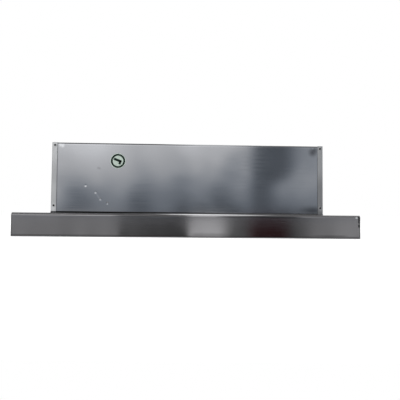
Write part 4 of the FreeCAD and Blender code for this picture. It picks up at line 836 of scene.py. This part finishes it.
def make_floor():
    """A pale floor that keeps the object's shadow and shows white around it."""
    bpy.ops.mesh.primitive_plane_add(size=FLOOR_SIZE)
    floor = bpy.context.object
    floor.name = "studio_floor"
    surface = Surface("studio_floor", {"Base Color": (FLOOR_ALBEDO, FLOOR_ALBEDO, FLOOR_ALBEDO, 1),
                                       "Emission Color": WHITE, "Roughness": 1.0,
                                       "Specular IOR Level": 0.0})
    rays = surface.add("ShaderNodeLightPath").outputs
    seen = surface.highest(rays["Is Camera Ray"], rays["Is Glossy Ray"], rays["Is Transmission Ray"])
    surface.tree.links.new(surface.times(seen, FLOOR_GLOW), surface.shader.inputs["Emission Strength"])
    floor.data.materials.append(surface.material)


def room_material():
    """Soft greys of a room, which only reflections see. The pattern narrows towards the hood, so
    that "along" is the distance to the right of the middle at which the hood's front shows it."""
    surface = Surface("room", {})
    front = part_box("fascia")[0].y
    x, y, z = [surface.axis(name) for name in "XYZ"]
    away = surface.math("SUBTRACT", y, front)
    travel = surface.math("SQRT", surface.math("ADD", surface.times(away, away), surface.times(z, z)))
    along = surface.math("DIVIDE", surface.times(x, ROOM_PATTERN_REACH),
                         surface.math("ADD", travel, ROOM_PATTERN_REACH))
    squeezed = surface.times(z, ROOM_SQUEEZE)
    plane = surface.add("ShaderNodeCombineXYZ", {0: along, 1: squeezed, 2: 0.0}).outputs[0]

    def near(places, radius):
        return surface.spots([(*place, 0.0) for place in places], radius, plane)

    # The wall: lighter with height, with soft dark furniture, windows and a dark doorway to the right
    wall = surface.times(surface.fade(z, *WALL_RISE), surface.fade(along, *WALL_DIMMING))
    for radius, middle_tone, places in FURNITURE:
        wall = surface.times(wall, surface.fade(near(places, radius), 0.0, 1.0, 1.0, middle_tone))
    wall = surface.math("ADD", wall, surface.times(near(WINDOWS, WINDOW_RADIUS), WINDOW_LIGHT))
    right_wall = surface.math("MINIMUM", wall, RIGHT_WALL_TONE)
    wall = surface.blend(surface.fade(along, *RIGHT_WALL), wall, right_wall)
    beyond = surface.math("SUBTRACT", along, surface.fade(z, *DOORWAY_EDGE))
    doorway = surface.times(surface.fade(along, *DOORWAY_LEFT), surface.fade(beyond, *DOORWAY_RIGHT))
    wall = surface.blend(doorway, wall, DOORWAY_TONE)

    # The ceiling: lit in the middle, most of all overhead, and an even grey behind the hood
    ceiling = surface.steps(along, CEILING_TONE, CEILING_STEPS)
    overhead = surface.steps(along, OVERHEAD_TONE, OVERHEAD_STEPS)
    ceiling = surface.blend(surface.fade(y, *OVERHEAD_START), ceiling, overhead)
    ceiling = surface.blend(surface.fade(y, *BEHIND_START), ceiling, CEILING_BEHIND_TONE)
    rear_wall = surface.fade(z, *REAR_WALL_TONES)
    ceiling = surface.blend(surface.fade(y, *REAR_WALL_START), ceiling, rear_wall)
    ceiling_share = surface.highest(surface.fade(z, *CEILING_BOTTOM), surface.fade(y, *CEILING_FRONT))
    high = surface.blend(ceiling_share, wall, ceiling)

    # The floor before the hood: one bright strip of light, and dark ground beside it
    low = surface.steps(along, FLOOR_TONE, FLOOR_STEPS)
    low = surface.blend(surface.fade(y, front, -front), low, FLOOR_BEHIND_TONE)
    wall_share = surface.fade(z, *WALL_BOTTOM)
    mottle = surface.fade(surface.noise(MOTTLE_SCALE, 2.0, plane), *MOTTLE)
    tone = surface.times(surface.blend(wall_share, low, high), mottle)
    beside = surface.fade(surface.math("ABSOLUTE", along), *SIDE_START)
    tone = surface.blend(beside, tone, ROOM_SIDE_TONE)

    # The floor is polished: its pattern shows at a flat angle, and its own pale colour from above
    facing = surface.add("ShaderNodeLayerWeight", {"Blend": 0.5}).outputs["Facing"]
    steep = surface.times(surface.fade(facing, *FLAT_ANGLE), surface.fade(z, *FLOOR_LEVEL))
    from_above = surface.times(steep, FLOOR_FROM_ABOVE_SHARE)
    tone = surface.blend(from_above, tone, FLOOR_FROM_ABOVE_TONE)

    # The floor before the hood is red at one place, and the dark parts of the wall are bluish
    warm = surface.times(surface.band(along, *WARM_SPAN), surface.rest(wall_share), surface.rest(steep),
                         surface.fade(y, front, 0.0, 1.0, 0.0))
    cool = surface.times(surface.fade(tone, *COOL_TONES), wall_share, surface.fade(z, *COOL_TOP))
    colour = surface.mix(warm, surface.mix(cool, ROOM_COLOUR, COOL_COLOUR), WARM_COLOUR)
    emission = surface.add("ShaderNodeEmission", {"Color": colour, "Strength": tone}).outputs[0]
    clear = surface.add("ShaderNodeBsdfTransparent").outputs[0]
    rays = surface.add("ShaderNodeLightPath").outputs
    both = surface.add("ShaderNodeMixShader", {0: rays["Is Glossy Ray"], 1: clear, 2: emission}).outputs[0]
    surface.tree.links.new(both, surface.tree.nodes["Material Output"].inputs["Surface"])
    return surface.material


def make_room():
    """Walls, a ceiling and a floor round the hood, for reflections only."""
    corners = [(x, y, z) for z in (ROOM_LIFT, ROOM_HEIGHT) for y in (ROOM_FRONT, ROOM_BACK)
               for x in (-ROOM_HALF_WIDTH, ROOM_HALF_WIDTH)]
    faces = ((0, 1, 5, 4), (2, 3, 7, 6), (0, 2, 6, 4), (1, 3, 7, 5), (4, 5, 7, 6), (0, 1, 3, 2))
    data = bpy.data.meshes.new("room")
    data.from_pydata(corners, [], faces)
    data.materials.append(room_material())
    room = bpy.data.objects.new("room", data)
    bpy.context.scene.collection.objects.link(room)


def make_world():
    """White where the camera, metal and glass look, and a plain grey for all other light."""
    world = bpy.data.worlds.new("studio")
    bpy.context.scene.world = world
    world.use_nodes = True
    nodes, links = world.node_tree.nodes, world.node_tree.links
    rays = nodes.new("ShaderNodeLightPath").outputs
    strength = None
    for name in ("Is Camera Ray", "Is Glossy Ray", "Is Transmission Ray"):
        highest = nodes.new("ShaderNodeMath")
        highest.operation = "MAXIMUM"
        highest.inputs[1].default_value = WORLD_FILL
        links.new(rays[name], highest.inputs[0])
        if strength:
            links.new(strength, highest.inputs[1])
        strength = highest.outputs[0]
    background = nodes["Background"]
    background.inputs["Color"].default_value = WHITE
    links.new(strength, background.inputs["Strength"])


def make_lamp(name, place, width, watts):
    """A round area lamp that is aimed at the hood."""
    data = bpy.data.lights.new(name, "AREA")
    data.shape = "DISK"
    data.size = width
    data.energy = watts
    lamp = bpy.data.objects.new(name, data)
    lamp.location = place
    aim = LAMP_AIM - Vector(place)
    lamp.rotation_euler = aim.to_track_quat("-Z", "Y").to_euler()
    bpy.context.scene.collection.objects.link(lamp)


def make_camera():
    """The camera of the photograph, turned by its yaw, pitch and roll."""
    data = bpy.data.cameras.new("camera")
    data.sensor_width = SENSOR_WIDTH
    data.lens = SENSOR_WIDTH * FOCAL_SHARE
    camera = bpy.data.objects.new("camera", data)
    forward = Vector((math.sin(CAMERA_YAW) * math.cos(CAMERA_PITCH),
                      math.cos(CAMERA_YAW) * math.cos(CAMERA_PITCH), math.sin(CAMERA_PITCH)))
    level = Vector((math.cos(CAMERA_YAW), -math.sin(CAMERA_YAW), 0))
    upright = level.cross(forward)
    right = level * math.cos(CAMERA_ROLL) + upright * math.sin(CAMERA_ROLL)
    up = upright * math.cos(CAMERA_ROLL) - level * math.sin(CAMERA_ROLL)
    turn = Matrix((right, up, -forward)).transposed().to_4x4()
    camera.matrix_world = Matrix.Translation(CAMERA_PLACE) @ turn
    bpy.context.scene.collection.objects.link(camera)
    bpy.context.scene.camera = camera


materials = paint_nodes()
make_rivets(materials["rivet_steel"])
make_sticker()
make_screw_recesses(materials["dark_plastic"])
make_floor()
make_room()
make_world()
for lamp in LAMPS:
    make_lamp(*lamp)
make_camera()
bpy.context.scene.view_settings.view_transform = "Standard"
